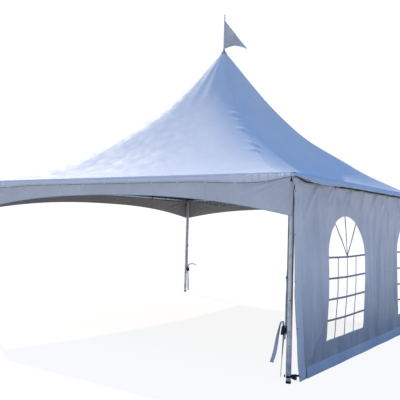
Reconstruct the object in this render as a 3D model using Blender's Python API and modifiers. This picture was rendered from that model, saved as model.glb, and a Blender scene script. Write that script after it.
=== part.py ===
"""High-peak frame tent, about 6.1 m square, with one hung side wall.

Four legs carry four eave rails through corner fittings. Two crossed pairs of taut cables
run from the corners to the foot of a short centre mast, which floats above head height and
pushes the roof membrane up to its peak. Webbing with a ratchet on each leg pulls the roof
corners down. Metres, +Z up, origin on the ground under the peak. The open front faces -Y,
and the walled side faces +X.
"""

import math

import bmesh
import bpy
from mathutils import Euler, Vector

LEG_AXIS = 3.016            # from the centre to each leg's axis, along X and along Y
TUBE_RADIUS = 0.0315        # legs and eave rails, 63 mm aluminium tube
RAIL_Z = 2.378              # height of the eave rails' axes
GAP = 0.0003                # clearance between pieces that touch
SHEET = 0.004               # thickness that stands for a coated fabric
ROUND_SIDES = 24            # sides of a turned or round piece
OVERRUN = 0.020             # how far a cutter runs past what it cuts

FOOT_CAP_RADIUS = 0.031
FOOT_CAP_HEIGHT = 0.028
FOOT_SLEEVE_RADIUS = 0.0270
LEG_STEP_Z = 0.100          # the 63 mm tube starts here, above the narrower sleeve

SOCKET_RADIUS = 0.0350      # outside of the fitting's rail sockets
SOCKET_BORE = 0.0320
ELBOW_RADIUS = 0.0347       # rounds the outside of the corner
SOCKET_REACH = 0.200
SOCKET_FLOOR = 0.052
LEG_SOCKET_RADIUS = 0.0345
LEG_SOCKET_BOTTOM = 2.230
LEG_TOP = 2.325
LUG_REACH = 0.150           # from the leg axis to the end of the cable lug
LUG_WIDTH = 0.040
LUG_THICKNESS = 0.010

MAST_RADIUS = 0.0275
MAST_BOTTOM = 2.165
MAST_TOP = 4.968
MAST_FOOT_BOTTOM = 2.128
MAST_FOOT_TOP = 2.250
MAST_LUG_REACH = 0.115
MAST_LUG_WIDTH = 0.034
MAST_SLEEVE_WALL = 0.006    # wall of the foot and of the head's collar
MAST_COLLAR_BOTTOM = 4.900
MAST_COLLAR_TOP = 4.980
MAST_DISC_RADIUS = 0.050    # disc that the membrane's peak lies over
MAST_DISC_Z = 4.995
MAST_DISC_DROP = 0.020      # from the membrane's peak down to the disc's crown
MAST_DISC_FLAT = 0.012
CABLE_RADIUS = 0.005
TURNBUCKLE_RADIUS = 0.013
TURNBUCKLE_LENGTH = 0.240
FERRULE_RADIUS = 0.009
FERRULE_LENGTH = 0.070
FERRULE_TAPER = 0.010
CABLE_END_GAP = 0.0012      # the cables' square ends stay clear of the upright lugs
CABLE_FITTING_Z = 2.352     # where a cable meets the corner fitting's lug
CABLE_MAST_Z = 2.146        # where it meets the mast foot's lug

PEAK_Z = 5.095              # top of the membrane
ROOF_RINGS = 12             # rings of the roof between the peak and the rails
ROOF_POWER = 1.93           # how hollow the slope is: 1 would be a straight pyramid
RING_POWER = 1.66           # packs the rings towards the peak
ROUND_RING_POWER = 2.0      # a ring at the peak is a circle
RING_SQUARING = 16.0        # how fast the rings turn into squares on their way down
SQUARING_POWER = 1.6
SQUARE_FROM = 0.9           # share of the way down where a ring is a true square
RIM_ANGLES = (70.0, 50.0, 30.0, 10.0, 0.0)    # stations of the edge round the rails, in degrees
EDGE_RADIUS = SOCKET_RADIUS + 0.0012 + SHEET    # outside of the membrane round the rails
SEAM_Z = 2.337              # seam between the roof's edge and the valances
SEAM_CORNER_RISE = 0.042    # the seam climbs over the corner fittings
SEAM_RISE_START = 2.62      # from the middle of an eave
SEAM_DIP = 0.026            # and dips just before it climbs
SEAM_DIP_PLACE = 2.35
SEAM_DIP_SPREAD = 0.45
PEAK_SLOPE = (PEAK_Z - RAIL_Z - SOCKET_RADIUS) * ROOF_POWER / (LEG_AXIS * math.sqrt(2))

VALANCE_CORNER_Z = 1.915
VALANCE_CROWN_Z = 2.169
VALANCE_POWER = 2.4
VALANCE_COLUMNS = 28

STAFF_RADIUS = 0.0095
STAFF_BOTTOM = 5.001
STAFF_TOP = 5.760
STAFF_TIP_RADIUS = 0.007
STAFF_TAPER = 0.050
FINIAL_RADIUS = 0.015
CAP_RADIUS = 0.062          # boot over the peak, round the staff
CAP_NECK_RADIUS = 0.018
CAP_SHOULDER_RADIUS = 0.022
CAP_NECK_RISE = 0.030
CAP_LIFT = 0.012            # its top face over the membrane's line
CAP_THICKNESS = 0.005
PENNANT_TOP = 5.666
PENNANT_BOTTOM = 5.126
PENNANT_FLY = 0.450
PENNANT_BELLY = 0.064       # how far the lower edge arches up
PENNANT_THICKNESS = 0.002
PENNANT_TURN = math.radians(35.6)

WALL_TOP_Z = 2.333
WALL_TOP_X = 3.0575         # inner face of the wall where it hangs
WALL_BOTTOM_X = 3.098       # and at its hem
WALL_HEM_Z = 0.008
WALL_THICKNESS = 0.003
WALL_EDGE_TOP = 3.040       # half width of the wall at its top
WALL_EDGE_BOTTOM = 2.900    # and at its hem, where its edges stand off the legs
WALL_EDGE_POWER = 1.5
WALL_EDGE_STEPS = 6
EDGE_BAND_WIDTH = 0.180
SKIRT_HEIGHT = 0.140
BAND_THICKNESS = 0.0025
BAND_HANG = 0.004           # the edge bands hang this far below the wall's hem
BAND_TOP_DROP = 0.010
SKIRT_HANG = 0.002
SKIRT_GAP = 0.002           # between the skirt's ends and the edge bands
WALL_LEAN = (WALL_BOTTOM_X - WALL_TOP_X) / (WALL_TOP_Z - WALL_HEM_Z)

WINDOW_CENTRE = 1.470       # from the middle of the wall to the middle of each window
WINDOW_HALF_WIDTH = 0.650
WINDOW_SILL_Z = 0.360
WINDOW_SPRING_Z = 1.405
WINDOW_CROWN_Z = 1.945
WINDOW_ARC_POINTS = 18
FILM_MARGIN = 0.020
FILM_THICKNESS = 0.0015

WEBBING_WIDTH = 0.044
WEBBING_THICKNESS = 0.0025
RATCHET_Z = 0.625           # height of the ratchets' spools
RATCHET_OUT = 0.066         # from the leg's axis to the spool's axis
SPOOL_RADIUS = 0.010
PLATE_GAP = 0.050           # clear width between the ratchet's side plates
PLATE_THICKNESS = 0.003
RATCHET_BOLT_RADIUS = 0.006
EYE_BAR_DROP = 0.075        # from the spool down to the bar that holds the lower strap
EYE_BAR_RADIUS = 0.005
PLATE_WIDTH = 0.034
PLATE_HEIGHT = 0.118
PLATE_INSET = 0.004         # from the spool's axis towards the leg
PLATE_DROP = 0.032          # from the spool's axis down to the plates' middle
BRIDGE_INSET = 0.019        # plate that joins the side plates behind the webbing
BRIDGE_DROP = 0.040
BRIDGE_HEIGHT = 0.030
BRIDGE_THICKNESS = 0.004
HANDLE_OUT = 0.018          # closed handle, beyond the spool's axis
HANDLE_DROP = 0.030
HANDLE_WIDTH = 0.020
HANDLE_LENGTH = 0.100
GRIP_RADIUS = 0.008
GRIP_OUT = 0.020
GRIP_DROP = 0.074
BITE = 0.0006               # how far joined shapes run into each other

STRAP_RUN_HEIGHTS = (1.6, 0.9, 0.72)    # where the webbing lies along the leg
STRAP_TURN_OUT = Vector((0.008, 0.675))
STRAP_TOP_GAP = 0.0008      # under the eave rail
TAIL_START = Vector((0.001, 0.018))     # where the tail leaves the spool's wrap
HANGING_TAIL = (
    Vector((0.083, 0.683)),
    Vector((0.100, 0.690)),
    Vector((0.118, 0.655)),
    Vector((0.150, 0.510)),
    Vector((0.182, 0.330)),
    Vector((0.222, 0.200)),
)
STICKING_TAIL = (
    Vector((0.084, 0.690)),
    Vector((0.105, 0.712)),
    Vector((0.190, 0.735)),
    Vector((0.270, 0.730)),
    Vector((0.335, 0.705)),
)
SEWN_END = 0.045            # webbing sewn back below the bar it goes round
LOWER_STRAP_START = Vector((0.0, -0.030))   # from the bar's outer side
LOWER_STRAP_MIDDLE = Vector((0.012, -0.240))
LOWER_STRAP_END = Vector((0.100, 0.055))

TIE_Z = 0.075
TIE_HEIGHT = 0.024
TIE_THICKNESS = 0.003
TIE_ALONG = 0.118           # from the leg's axis along the wall to the tie's end
TIE_TIP = 0.008

FRONT, BACK = -1, 1
LEFT, RIGHT = -1, 1
CORNERS = {
    "front_left": (LEFT, FRONT),
    "front_right": (RIGHT, FRONT),
    "back_left": (LEFT, BACK),
    "back_right": (RIGHT, BACK),
}

for old in list(bpy.data.objects):
    bpy.data.objects.remove(old, do_unlink=True)

parts = bpy.data.collections.new("high_peak_tent")
cutters = bpy.data.collections.new("cutters")
bpy.context.scene.collection.children.link(parts)
bpy.context.scene.collection.children.link(cutters)


def make_material(name, colour, roughness, metallic=0.0):
    """Principled material with one colour."""
    material = bpy.data.materials.new(name)
    material.use_nodes = True
    shader = material.node_tree.nodes["Principled BSDF"]
    shader.inputs["Base Color"].default_value = (*colour, 1.0)
    shader.inputs["Roughness"].default_value = roughness
    shader.inputs["Metallic"].default_value = metallic
    return material


ALUMINIUM = make_material("aluminium", (0.62, 0.63, 0.65), 0.35, 1.0)
CAST_ALUMINIUM = make_material("cast_aluminium", (0.50, 0.51, 0.53), 0.50, 1.0)
STEEL_CABLE = make_material("steel_cable", (0.42, 0.43, 0.45), 0.40, 1.0)
WHITE_SHEET = make_material("white_sheet", (0.80, 0.83, 0.88), 0.35)
WALL_SHEET = make_material("wall_sheet", (0.62, 0.66, 0.74), 0.45)
CLEAR_FILM = make_material("clear_film", (0.90, 0.93, 0.95), 0.08)
WEBBING = make_material("webbing", (0.55, 0.60, 0.70), 0.80)
BLACK_STEEL = make_material("black_steel", (0.03, 0.03, 0.03), 0.45, 0.6)
BLACK_RUBBER = make_material("black_rubber", (0.02, 0.02, 0.02), 0.80)
PENNANT_CLOTH = make_material("pennant_cloth", (0.45, 0.52, 0.62), 0.70)
CAP_PLASTIC = make_material("cap_plastic", (0.45, 0.46, 0.50), 0.40)


def add_object(name, data, material=None, collection=parts):
    """Object in a collection, with its material."""
    made = bpy.data.objects.new(name, data)
    collection.objects.link(made)
    if material is not None:
        data.materials.append(material)
    return made


def as_cutter(made):
    """Keep a helper out of the part."""
    made.hide_render = True
    made.display_type = "WIRE"
    return made


def turned(name, profile, material, collection=parts, sides=ROUND_SIDES):
    """Solid of revolution about Z from (radius, height) points that run down its outside."""
    mesh = bpy.data.meshes.new(name)
    points = [(radius, 0.0, height) for radius, height in profile]
    edges = [(index, index + 1) for index in range(len(points) - 1)]
    mesh.from_pydata(points, edges, [])
    made = add_object(name, mesh, material, collection)
    screw = made.modifiers.new("turn", "SCREW")
    screw.axis = "Z"
    screw.angle = math.tau
    screw.steps = sides
    screw.render_steps = sides
    screw.use_merge_vertices = True
    screw.merge_threshold = 0.00005
    screw.use_smooth_shade = True
    return made


def rod_profile(radius, top, bottom):
    """Profile of a plain round bar."""
    return [(0.0, top), (radius, top), (radius, bottom), (0.0, bottom)]


def box(name, size, centre, material=None, collection=cutters):
    """Box from a cube primitive, with its size in its mesh."""
    mesh = bpy.data.meshes.new(name)
    shape = bmesh.new()
    bmesh.ops.create_cube(shape, size=1.0)
    bmesh.ops.scale(shape, vec=Vector(size), verts=shape.verts)
    shape.to_mesh(mesh)
    shape.free()
    made = add_object(name, mesh, material, collection)
    made.location = centre
    return made


def rod(name, radius, length, centre, rotation, sides=14):
    """Round bar used to build up or to cut a piece."""
    mesh = bpy.data.meshes.new(name)
    shape = bmesh.new()
    bmesh.ops.create_cone(
        shape, cap_ends=True, segments=sides, radius1=radius, radius2=radius, depth=length
    )
    shape.to_mesh(mesh)
    shape.free()
    made = add_object(name, mesh, None, cutters)
    made.location = centre
    made.rotation_euler = rotation
    return made


def ball(name, radius, centre):
    """Sphere used to round off a piece."""
    mesh = bpy.data.meshes.new(name)
    shape = bmesh.new()
    bmesh.ops.create_uvsphere(shape, u_segments=20, v_segments=10, radius=radius)
    shape.to_mesh(mesh)
    shape.free()
    made = add_object(name, mesh, None, cutters)
    made.location = centre
    return made


def combine(target, tools, operation):
    """Exact Boolean of each tool onto the target, with the tools kept as hidden helpers."""
    for tool in tools:
        as_cutter(tool)
        tool.parent = target.parent
        step = target.modifiers.new(operation.lower(), "BOOLEAN")
        step.operation = operation
        step.solver = "EXACT"
        step.object = tool


def flat_plate(name, outline, thickness, material, holes=()):
    """Plate from a closed 2D outline in its own XY plane, centred on its thickness."""
    curve = bpy.data.curves.new(name, "CURVE")
    curve.dimensions = "2D"
    curve.fill_mode = "BOTH"
    curve.extrude = thickness / 2
    curve.resolution_u = 1
    for loop in (outline, *holes):
        spline = curve.splines.new("POLY")
        spline.points.add(len(loop) - 1)
        for point, (u, v) in zip(spline.points, loop):
            point.co = (u, v, 0.0, 1.0)
        spline.use_cyclic_u = True
    return add_object(name, curve, material)


def strip_outline(path, thickness):
    """Outline of a strap seen on edge: the path offset to both sides."""
    count = len(path)
    near_side = []
    far_side = []
    for index, point in enumerate(path):
        before = path[max(index - 1, 0)]
        after = path[min(index + 1, count - 1)]
        along = (after - before).normalized()
        side = Vector((-along.y, along.x)) * thickness / 2
        near_side.append(point + side)
        far_side.append(point - side)
    return [tuple(point) for point in near_side + far_side[::-1]]


def smooth_path(points, steps):
    """Catmull-Rom curve through a few points."""
    ends = [2 * points[0] - points[1], *points, 2 * points[-1] - points[-2]]
    path = []
    for index in range(1, len(ends) - 2):
        a, b, c, d = ends[index - 1:index + 3]
        for step in range(steps):
            t = step / steps
            path.append(
                0.5 * (2 * b + (c - a) * t + (2 * a - 5 * b + 4 * c - d) * t * t
                       + (3 * b - a - 3 * c + d) * t * t * t)
            )
    path.append(points[-1])
    return path


def arc_path(centre, radius, start, end, count):
    """Points along an arc, with its angles in degrees."""
    angles = [math.radians(start + (end - start) * k / (count - 1)) for k in range(count)]
    return [centre + radius * Vector((math.cos(a), math.sin(a))) for a in angles]


def make_legs():
    """Legs: a 63 mm tube above a narrower adjusting sleeve."""
    for corner, (side_x, side_y) in CORNERS.items():
        profile = [
            (0.0, LEG_TOP),
            (TUBE_RADIUS, LEG_TOP),
            (TUBE_RADIUS, LEG_STEP_Z),
            (FOOT_SLEEVE_RADIUS, LEG_STEP_Z),
            (FOOT_SLEEVE_RADIUS, FOOT_CAP_HEIGHT / 2 + GAP),
            (0.0, FOOT_CAP_HEIGHT / 2 + GAP),
        ]
        leg = turned(f"leg_{corner}", profile, ALUMINIUM)
        leg.location = (side_x * LEG_AXIS, side_y * LEG_AXIS, 0.0)


def make_foot_caps():
    """Black cups that the legs stand in."""
    inside = FOOT_SLEEVE_RADIUS + GAP
    floor = FOOT_CAP_HEIGHT / 2
    for corner, (side_x, side_y) in CORNERS.items():
        profile = [
            (0.0, floor),
            (inside, floor),
            (inside, FOOT_CAP_HEIGHT),
            (FOOT_CAP_RADIUS, FOOT_CAP_HEIGHT),
            (FOOT_CAP_RADIUS, 0.0),
            (0.0, 0.0),
        ]
        cap = turned(f"foot_cap_{corner}", profile, BLACK_RUBBER)
        cap.location = (side_x * LEG_AXIS, side_y * LEG_AXIS, 0.0)


def make_corner_fittings():
    """Cast corners: sockets for the leg and two rails, and a lug for the cross cable."""
    for corner, (side_x, side_y) in CORNERS.items():
        x, y = side_x * LEG_AXIS, side_y * LEG_AXIS
        name = f"corner_fitting_{corner}"
        fitting = turned(
            name,
            rod_profile(LEG_SOCKET_RADIUS, RAIL_Z, LEG_SOCKET_BOTTOM),
            CAST_ALUMINIUM,
        )
        fitting.location = (x, y, 0.0)
        along_x = Euler((0.0, math.pi / 2, 0.0))
        along_y = Euler((math.pi / 2, 0.0, 0.0))
        shift = SOCKET_REACH / 2
        socket_x = rod(f"{name}_socket_x", SOCKET_RADIUS, SOCKET_REACH,
                       (x - side_x * shift, y, RAIL_Z), along_x, ROUND_SIDES)
        socket_y = rod(f"{name}_socket_y", SOCKET_RADIUS, SOCKET_REACH,
                       (x, y - side_y * shift, RAIL_Z), along_y, ROUND_SIDES)
        elbow = ball(f"{name}_elbow", ELBOW_RADIUS, (x, y, RAIL_Z))
        inward = Vector((-side_x, -side_y, 0.0)).normalized()
        lug = box(f"{name}_lug", (LUG_REACH, LUG_THICKNESS, LUG_WIDTH),
                  Vector((x, y, CABLE_FITTING_Z)) + inward * LUG_REACH / 2)
        lug.rotation_euler = (0.0, 0.0, math.atan2(inward.y, inward.x))
        combine(fitting, [socket_x, socket_y, elbow, lug], "UNION")
        depth = SOCKET_REACH - SOCKET_FLOOR + OVERRUN
        centre = SOCKET_FLOOR + depth / 2
        bore_x = rod(f"{name}_bore_x", SOCKET_BORE, depth,
                     (x - side_x * centre, y, RAIL_Z), along_x, ROUND_SIDES)
        bore_y = rod(f"{name}_bore_y", SOCKET_BORE, depth,
                     (x, y - side_y * centre, RAIL_Z), along_y, ROUND_SIDES)
        leg_depth = LEG_TOP + GAP - LEG_SOCKET_BOTTOM + OVERRUN
        bore_leg = rod(f"{name}_bore_leg", SOCKET_BORE, leg_depth,
                       (x, y, LEG_TOP + GAP - leg_depth / 2), Euler((0.0, 0.0, 0.0)),
                       ROUND_SIDES)
        combine(fitting, [bore_x, bore_y, bore_leg], "DIFFERENCE")


def make_eave_rails():
    """Four straight tubes between the fittings' sockets."""
    length = 2 * (LEG_AXIS - SOCKET_FLOOR - GAP)
    places = {
        "eave_rail_front": (0.0, -LEG_AXIS, 0.0),
        "eave_rail_back": (0.0, LEG_AXIS, 0.0),
        "eave_rail_left": (-LEG_AXIS, 0.0, math.pi / 2),
        "eave_rail_right": (LEG_AXIS, 0.0, math.pi / 2),
    }
    for name, (x, y, turn) in places.items():
        rail = turned(name, rod_profile(TUBE_RADIUS, length / 2, -length / 2), ALUMINIUM)
        rail.location = (x, y, RAIL_Z)
        rail.rotation_euler = (0.0, math.pi / 2, turn)


def make_mast():
    """Centre mast with its foot, which holds the four cable ends, and its head."""
    turned("mast_tube", rod_profile(MAST_RADIUS, MAST_TOP, MAST_BOTTOM), ALUMINIUM)
    bore = MAST_RADIUS + GAP
    outside = MAST_RADIUS + MAST_SLEEVE_WALL
    foot = turned("mast_foot", [
        (0.0, MAST_BOTTOM - GAP),
        (bore, MAST_BOTTOM - GAP),
        (bore, MAST_FOOT_TOP),
        (outside, MAST_FOOT_TOP),
        (outside, MAST_FOOT_BOTTOM),
        (0.0, MAST_FOOT_BOTTOM),
    ], CAST_ALUMINIUM)
    lugs = []
    for corner, (side_x, side_y) in CORNERS.items():
        outward = Vector((side_x, side_y, 0.0)).normalized()
        start = (bore + outside) / 2
        length = MAST_LUG_REACH - start
        lug = box(f"mast_foot_lug_{corner}", (length, LUG_THICKNESS, MAST_LUG_WIDTH),
                  outward * (start + length / 2) + Vector((0.0, 0.0, CABLE_MAST_Z)))
        lug.rotation_euler = (0.0, 0.0, math.atan2(outward.y, outward.x))
        lugs.append(lug)
    combine(foot, lugs, "UNION")
    crown = PEAK_Z - MAST_DISC_DROP
    turned("mast_head", [
        (0.0, STAFF_BOTTOM - GAP),
        (STAFF_RADIUS + GAP, STAFF_BOTTOM - GAP),
        (STAFF_RADIUS + GAP, crown - PEAK_SLOPE * STAFF_RADIUS),
        (MAST_DISC_FLAT, crown - PEAK_SLOPE * MAST_DISC_FLAT),
        (MAST_DISC_RADIUS, crown - PEAK_SLOPE * MAST_DISC_RADIUS),
        (MAST_DISC_RADIUS, MAST_DISC_Z),
        (outside, MAST_COLLAR_TOP),
        (outside, MAST_COLLAR_BOTTOM),
        (bore, MAST_COLLAR_BOTTOM),
        (bore, MAST_TOP + GAP),
        (0.0, MAST_TOP + GAP),
    ], CAST_ALUMINIUM)


def make_cross_cables():
    """Taut cables from each corner to the mast foot, each with a turnbuckle."""
    for corner, (side_x, side_y) in CORNERS.items():
        outward = Vector((side_x, side_y, 0.0)).normalized()
        low = outward * (MAST_LUG_REACH + CABLE_END_GAP) + Vector((0.0, 0.0, CABLE_MAST_Z))
        reach = LEG_AXIS * math.sqrt(2) - LUG_REACH - CABLE_END_GAP
        high = outward * reach + Vector((0.0, 0.0, CABLE_FITTING_Z))
        run = high - low
        length = run.length
        turnbuckle_end = FERRULE_LENGTH + TURNBUCKLE_LENGTH
        cable = turned(f"cross_cable_{corner}", [
            (0.0, length),
            (FERRULE_RADIUS, length),
            (FERRULE_RADIUS, length - FERRULE_LENGTH),
            (CABLE_RADIUS, length - FERRULE_LENGTH - FERRULE_TAPER),
            (CABLE_RADIUS, turnbuckle_end + 2 * FERRULE_TAPER),
            (TURNBUCKLE_RADIUS, turnbuckle_end),
            (TURNBUCKLE_RADIUS, FERRULE_LENGTH),
            (FERRULE_RADIUS, FERRULE_LENGTH - FERRULE_TAPER),
            (FERRULE_RADIUS, 0.0),
            (0.0, 0.0),
        ], STEEL_CABLE, sides=12)
        cable.location = low
        cable.rotation_euler = run.to_track_quat("Z", "Y").to_euler()


def seam_height(along):
    """Height of the seam under the roof's edge, along an eave."""
    rise = max(0.0, (abs(along) - SEAM_RISE_START) / (LEG_AXIS - SEAM_RISE_START))
    dip = math.exp(-((abs(along) - SEAM_DIP_PLACE) / SEAM_DIP_SPREAD) ** 2)
    return SEAM_Z + SEAM_CORNER_RISE * min(rise, 1.0) ** 1.5 - SEAM_DIP * dip


def roof_point(u, v):
    """Point of the membrane for a place on a square from -1 to 1."""
    level = max(abs(u), abs(v))
    if level == 0.0:
        return Vector((0.0, 0.0, PEAK_Z))
    tau = level ** RING_POWER
    angle = math.atan2(v, u)
    power = ROUND_RING_POWER + RING_SQUARING * tau ** SQUARING_POWER
    cos_a, sin_a = abs(math.cos(angle)), abs(math.sin(angle))
    square = max(cos_a, sin_a)
    rounded = (cos_a ** power + sin_a ** power) ** (1.0 / power)
    blend = min(tau / SQUARE_FROM, 1.0) ** 6
    norm = rounded * (1.0 - blend) + square * blend
    hip = (2.0 ** (1.0 / power - 0.5)) * (1.0 - blend) + blend * math.sqrt(0.5)
    hip_reach = LEG_AXIS * math.sqrt(2) * tau
    reach = hip_reach * hip / norm
    edge_z = RAIL_Z + EDGE_RADIUS
    height = edge_z + (PEAK_Z - edge_z) * (1.0 - tau) ** ROOF_POWER
    return Vector((reach * math.cos(angle), reach * math.sin(angle), height))


def make_roof():
    """Roof membrane: four hollow slopes, a hole for the staff, and an edge over the rails."""
    shape = bmesh.new()
    cells = 2 * ROOF_RINGS
    bmesh.ops.create_grid(shape, x_segments=cells, y_segments=cells, size=1.0)
    centre = min(shape.verts, key=lambda vert: vert.co.length)
    bmesh.ops.delete(shape, geom=[centre], context="VERTS")
    for vert in shape.verts:
        vert.co = roof_point(vert.co.x, vert.co.y)
    rim = [edge for edge in shape.edges
           if edge.is_boundary and edge.verts[0].co.length > LEG_AXIS]
    for turn in RIM_ANGLES:
        grown = bmesh.ops.extrude_edge_only(shape, edges=rim)["geom"]
        rim = [item for item in grown
               if isinstance(item, bmesh.types.BMEdge) and item.is_boundary]
        verts = {vert for edge in rim for vert in edge.verts}
        for vert in verts:
            fold_over_rail(vert, turn)
    bmesh.ops.recalc_face_normals(shape, faces=shape.faces)
    if sum(face.normal.z for face in shape.faces) < 0.0:
        bmesh.ops.reverse_faces(shape, faces=shape.faces)
    mesh = bpy.data.meshes.new("roof_cover")
    shape.to_mesh(mesh)
    shape.free()
    mesh.shade_smooth()
    roof = add_object("roof_cover", mesh, WHITE_SHEET)
    thicken(roof, SHEET)


def fold_over_rail(vert, turn):
    """Move a vertex of the roof's rim to its place round the rail, at an angle in degrees."""
    along_x = min(max(vert.co.x, -LEG_AXIS), LEG_AXIS)
    along_y = min(max(vert.co.y, -LEG_AXIS), LEG_AXIS)
    on_x = abs(along_x) > LEG_AXIS - GAP
    on_y = abs(along_y) > LEG_AXIS - GAP
    along = along_y if on_x and not on_y else along_x
    if on_x and on_y:
        along = LEG_AXIS
    out = EDGE_RADIUS * math.cos(math.radians(turn))
    if turn > 0.0:
        height = RAIL_Z + EDGE_RADIUS * math.sin(math.radians(turn))
    else:
        height = seam_height(along)
    x = along_x + math.copysign(out, along_x) if on_x else along_x
    y = along_y + math.copysign(out, along_y) if on_y else along_y
    vert.co = (x, y, height)


def thicken(made, thickness):
    """Give an open surface its thickness, on its inner side."""
    solid = made.modifiers.new("thickness", "SOLIDIFY")
    solid.thickness = thickness
    solid.offset = -1.0
    solid.use_even_offset = True


def valance_bottom(along):
    """Lower edge of a valance: deep at the corners, shallow in the middle."""
    depth = (abs(along) / LEG_AXIS) ** VALANCE_POWER
    return VALANCE_CROWN_Z - (VALANCE_CROWN_Z - VALANCE_CORNER_Z) * depth


def make_valances():
    """Arched strips that hang from the roof's edge, one on each side."""
    face = LEG_AXIS + EDGE_RADIUS
    half = face - BAND_THICKNESS - 2 * GAP
    turns = {"front": 0.0, "right": math.pi / 2, "back": math.pi, "left": -math.pi / 2}
    inner = [LEG_AXIS * k / ROOF_RINGS for k in range(1 - ROOF_RINGS, ROOF_RINGS)]
    last, corner = inner[-1], seam_height(LEG_AXIS)
    share = (half - last) / (face - last)
    end = (half, seam_height(last) * (1.0 - share) + corner * share - GAP)
    top = [(-half, end[1]), *[(u, seam_height(u) - GAP) for u in inner], end]
    columns = [-half + 2 * half * k / VALANCE_COLUMNS for k in range(VALANCE_COLUMNS + 1)]
    bottom = [(u, valance_bottom(u)) for u in columns]
    for side, turn in turns.items():
        valance = flat_plate(f"valance_{side}", top + bottom[::-1], BAND_THICKNESS, WHITE_SHEET)
        centre = face - BAND_THICKNESS / 2
        valance.location = (centre * math.sin(turn), -centre * math.cos(turn), 0.0)
        valance.rotation_euler = (math.pi / 2, 0.0, turn)


def window_outline(margin):
    """Outline of one arched window about its own middle line."""
    half = WINDOW_HALF_WIDTH + margin
    rise = WINDOW_CROWN_Z - WINDOW_SPRING_Z + margin
    sill = WINDOW_SILL_Z - margin
    outline = [(-half, sill), (half, sill)]
    for k in range(WINDOW_ARC_POINTS + 1):
        angle = math.pi * k / WINDOW_ARC_POINTS
        outline.append((half * math.cos(angle), WINDOW_SPRING_Z + rise * math.sin(angle)))
    return outline


def wall_edge(height):
    """Half width of the wall at a height."""
    share = (WALL_TOP_Z - height) / (WALL_TOP_Z - WALL_HEM_Z)
    return WALL_EDGE_TOP + (WALL_EDGE_BOTTOM - WALL_EDGE_TOP) * share ** WALL_EDGE_POWER


def levels_between(low, high):
    """Evenly spaced heights where the wall's curved edges have a point."""
    return [low + (high - low) * k / WALL_EDGE_STEPS for k in range(WALL_EDGE_STEPS + 1)]


def place_on_wall(made, offset):
    """Stand a plate on the leaning wall, with its middle an offset from the wall's middle."""
    made.rotation_euler = Euler((math.pi / 2, 0.0, math.pi / 2))
    made.rotation_euler.rotate_axis("X", -math.atan(WALL_LEAN))
    middle = WALL_BOTTOM_X + WALL_THICKNESS / 2 + WALL_HEM_Z * WALL_LEAN
    made.location = (middle + offset, 0.0, 0.0)


def make_side_wall():
    """Hung wall with two arched windows, their clear film, edge bands and a skirt."""
    heights = levels_between(WALL_HEM_Z, WALL_TOP_Z)
    right_edge = [(wall_edge(z), z) for z in heights]
    left_edge = [(-u, z) for u, z in reversed(right_edge)]
    holes = [[(u + side * WINDOW_CENTRE, v) for u, v in window_outline(0.0)]
             for side in (FRONT, BACK)]
    wall = flat_plate("side_wall", right_edge + left_edge, WALL_THICKNESS, WALL_SHEET, holes)
    place_on_wall(wall, 0.0)
    film_offset = -(WALL_THICKNESS + FILM_THICKNESS) / 2 - GAP
    for name, side in (("front", FRONT), ("back", BACK)):
        outline = [(u + side * WINDOW_CENTRE, v) for u, v in window_outline(FILM_MARGIN)]
        film = flat_plate(f"window_film_{name}", outline, FILM_THICKNESS, CLEAR_FILM)
        place_on_wall(film, film_offset)
    band_offset = (WALL_THICKNESS + BAND_THICKNESS) / 2 + GAP
    for name, side in (("front", FRONT), ("back", BACK)):
        levels = levels_between(WALL_HEM_Z - BAND_HANG, WALL_TOP_Z - BAND_TOP_DROP)
        outer = [(side * wall_edge(max(z, WALL_HEM_Z)), z) for z in levels]
        inner = [(side * (wall_edge(max(z, WALL_HEM_Z)) - EDGE_BAND_WIDTH), z) for z in levels]
        band = flat_plate(f"wall_edge_band_{name}", outer + inner[::-1], BAND_THICKNESS,
                          WALL_SHEET)
        place_on_wall(band, band_offset)
    half = WALL_EDGE_BOTTOM - EDGE_BAND_WIDTH - SKIRT_GAP
    low = WALL_HEM_Z - SKIRT_HANG
    skirt = flat_plate("wall_skirt", [(-half, low), (half, low), (half, SKIRT_HEIGHT),
                                      (-half, SKIRT_HEIGHT)], BAND_THICKNESS, WALL_SHEET)
    place_on_wall(skirt, band_offset)


def upper_strap_path(tail):
    """Path of the webbing in the leg's own plane: out from the leg's axis, and up."""
    spool = Vector((RATCHET_OUT, RATCHET_Z))
    wrap = SPOOL_RADIUS + GAP + WEBBING_THICKNESS / 2
    run = LEG_SOCKET_RADIUS + GAP + WEBBING_THICKNESS / 2
    top = RAIL_Z - SOCKET_RADIUS - STRAP_TOP_GAP
    path = [Vector((run, height)) for height in (top, *STRAP_RUN_HEIGHTS)]
    path += [Vector((run, 0.0)) + STRAP_TURN_OUT]
    path += arc_path(spool, wrap, 165.0, 375.0, 12)
    path += smooth_path([spool + Vector((wrap, 0.0)) + TAIL_START, *tail], 5)
    return path


def lower_strap_path():
    """Strap that hangs from the ratchet's eye bar, with its end sewn back over the bar."""
    bar = Vector((RATCHET_OUT, RATCHET_Z - EYE_BAR_DROP))
    wrap = EYE_BAR_RADIUS + GAP + WEBBING_THICKNESS / 2
    path = [bar + Vector((-wrap, -SEWN_END)), bar + Vector((-wrap, -SEWN_END / 3))]
    path += arc_path(bar, wrap, 180.0, 0.0, 8)
    side = bar + Vector((wrap, 0.0))
    path += smooth_path([side + LOWER_STRAP_START, side + LOWER_STRAP_MIDDLE,
                         LOWER_STRAP_END], 5)
    return path


def place_on_leg(made, side_x, side_y):
    """Stand a strap or a ratchet on the inner X side of a leg."""
    made.location = (side_x * LEG_AXIS, side_y * LEG_AXIS, 0.0)
    made.rotation_euler = (math.pi / 2, 0.0, math.pi if side_x == RIGHT else 0.0)


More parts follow.
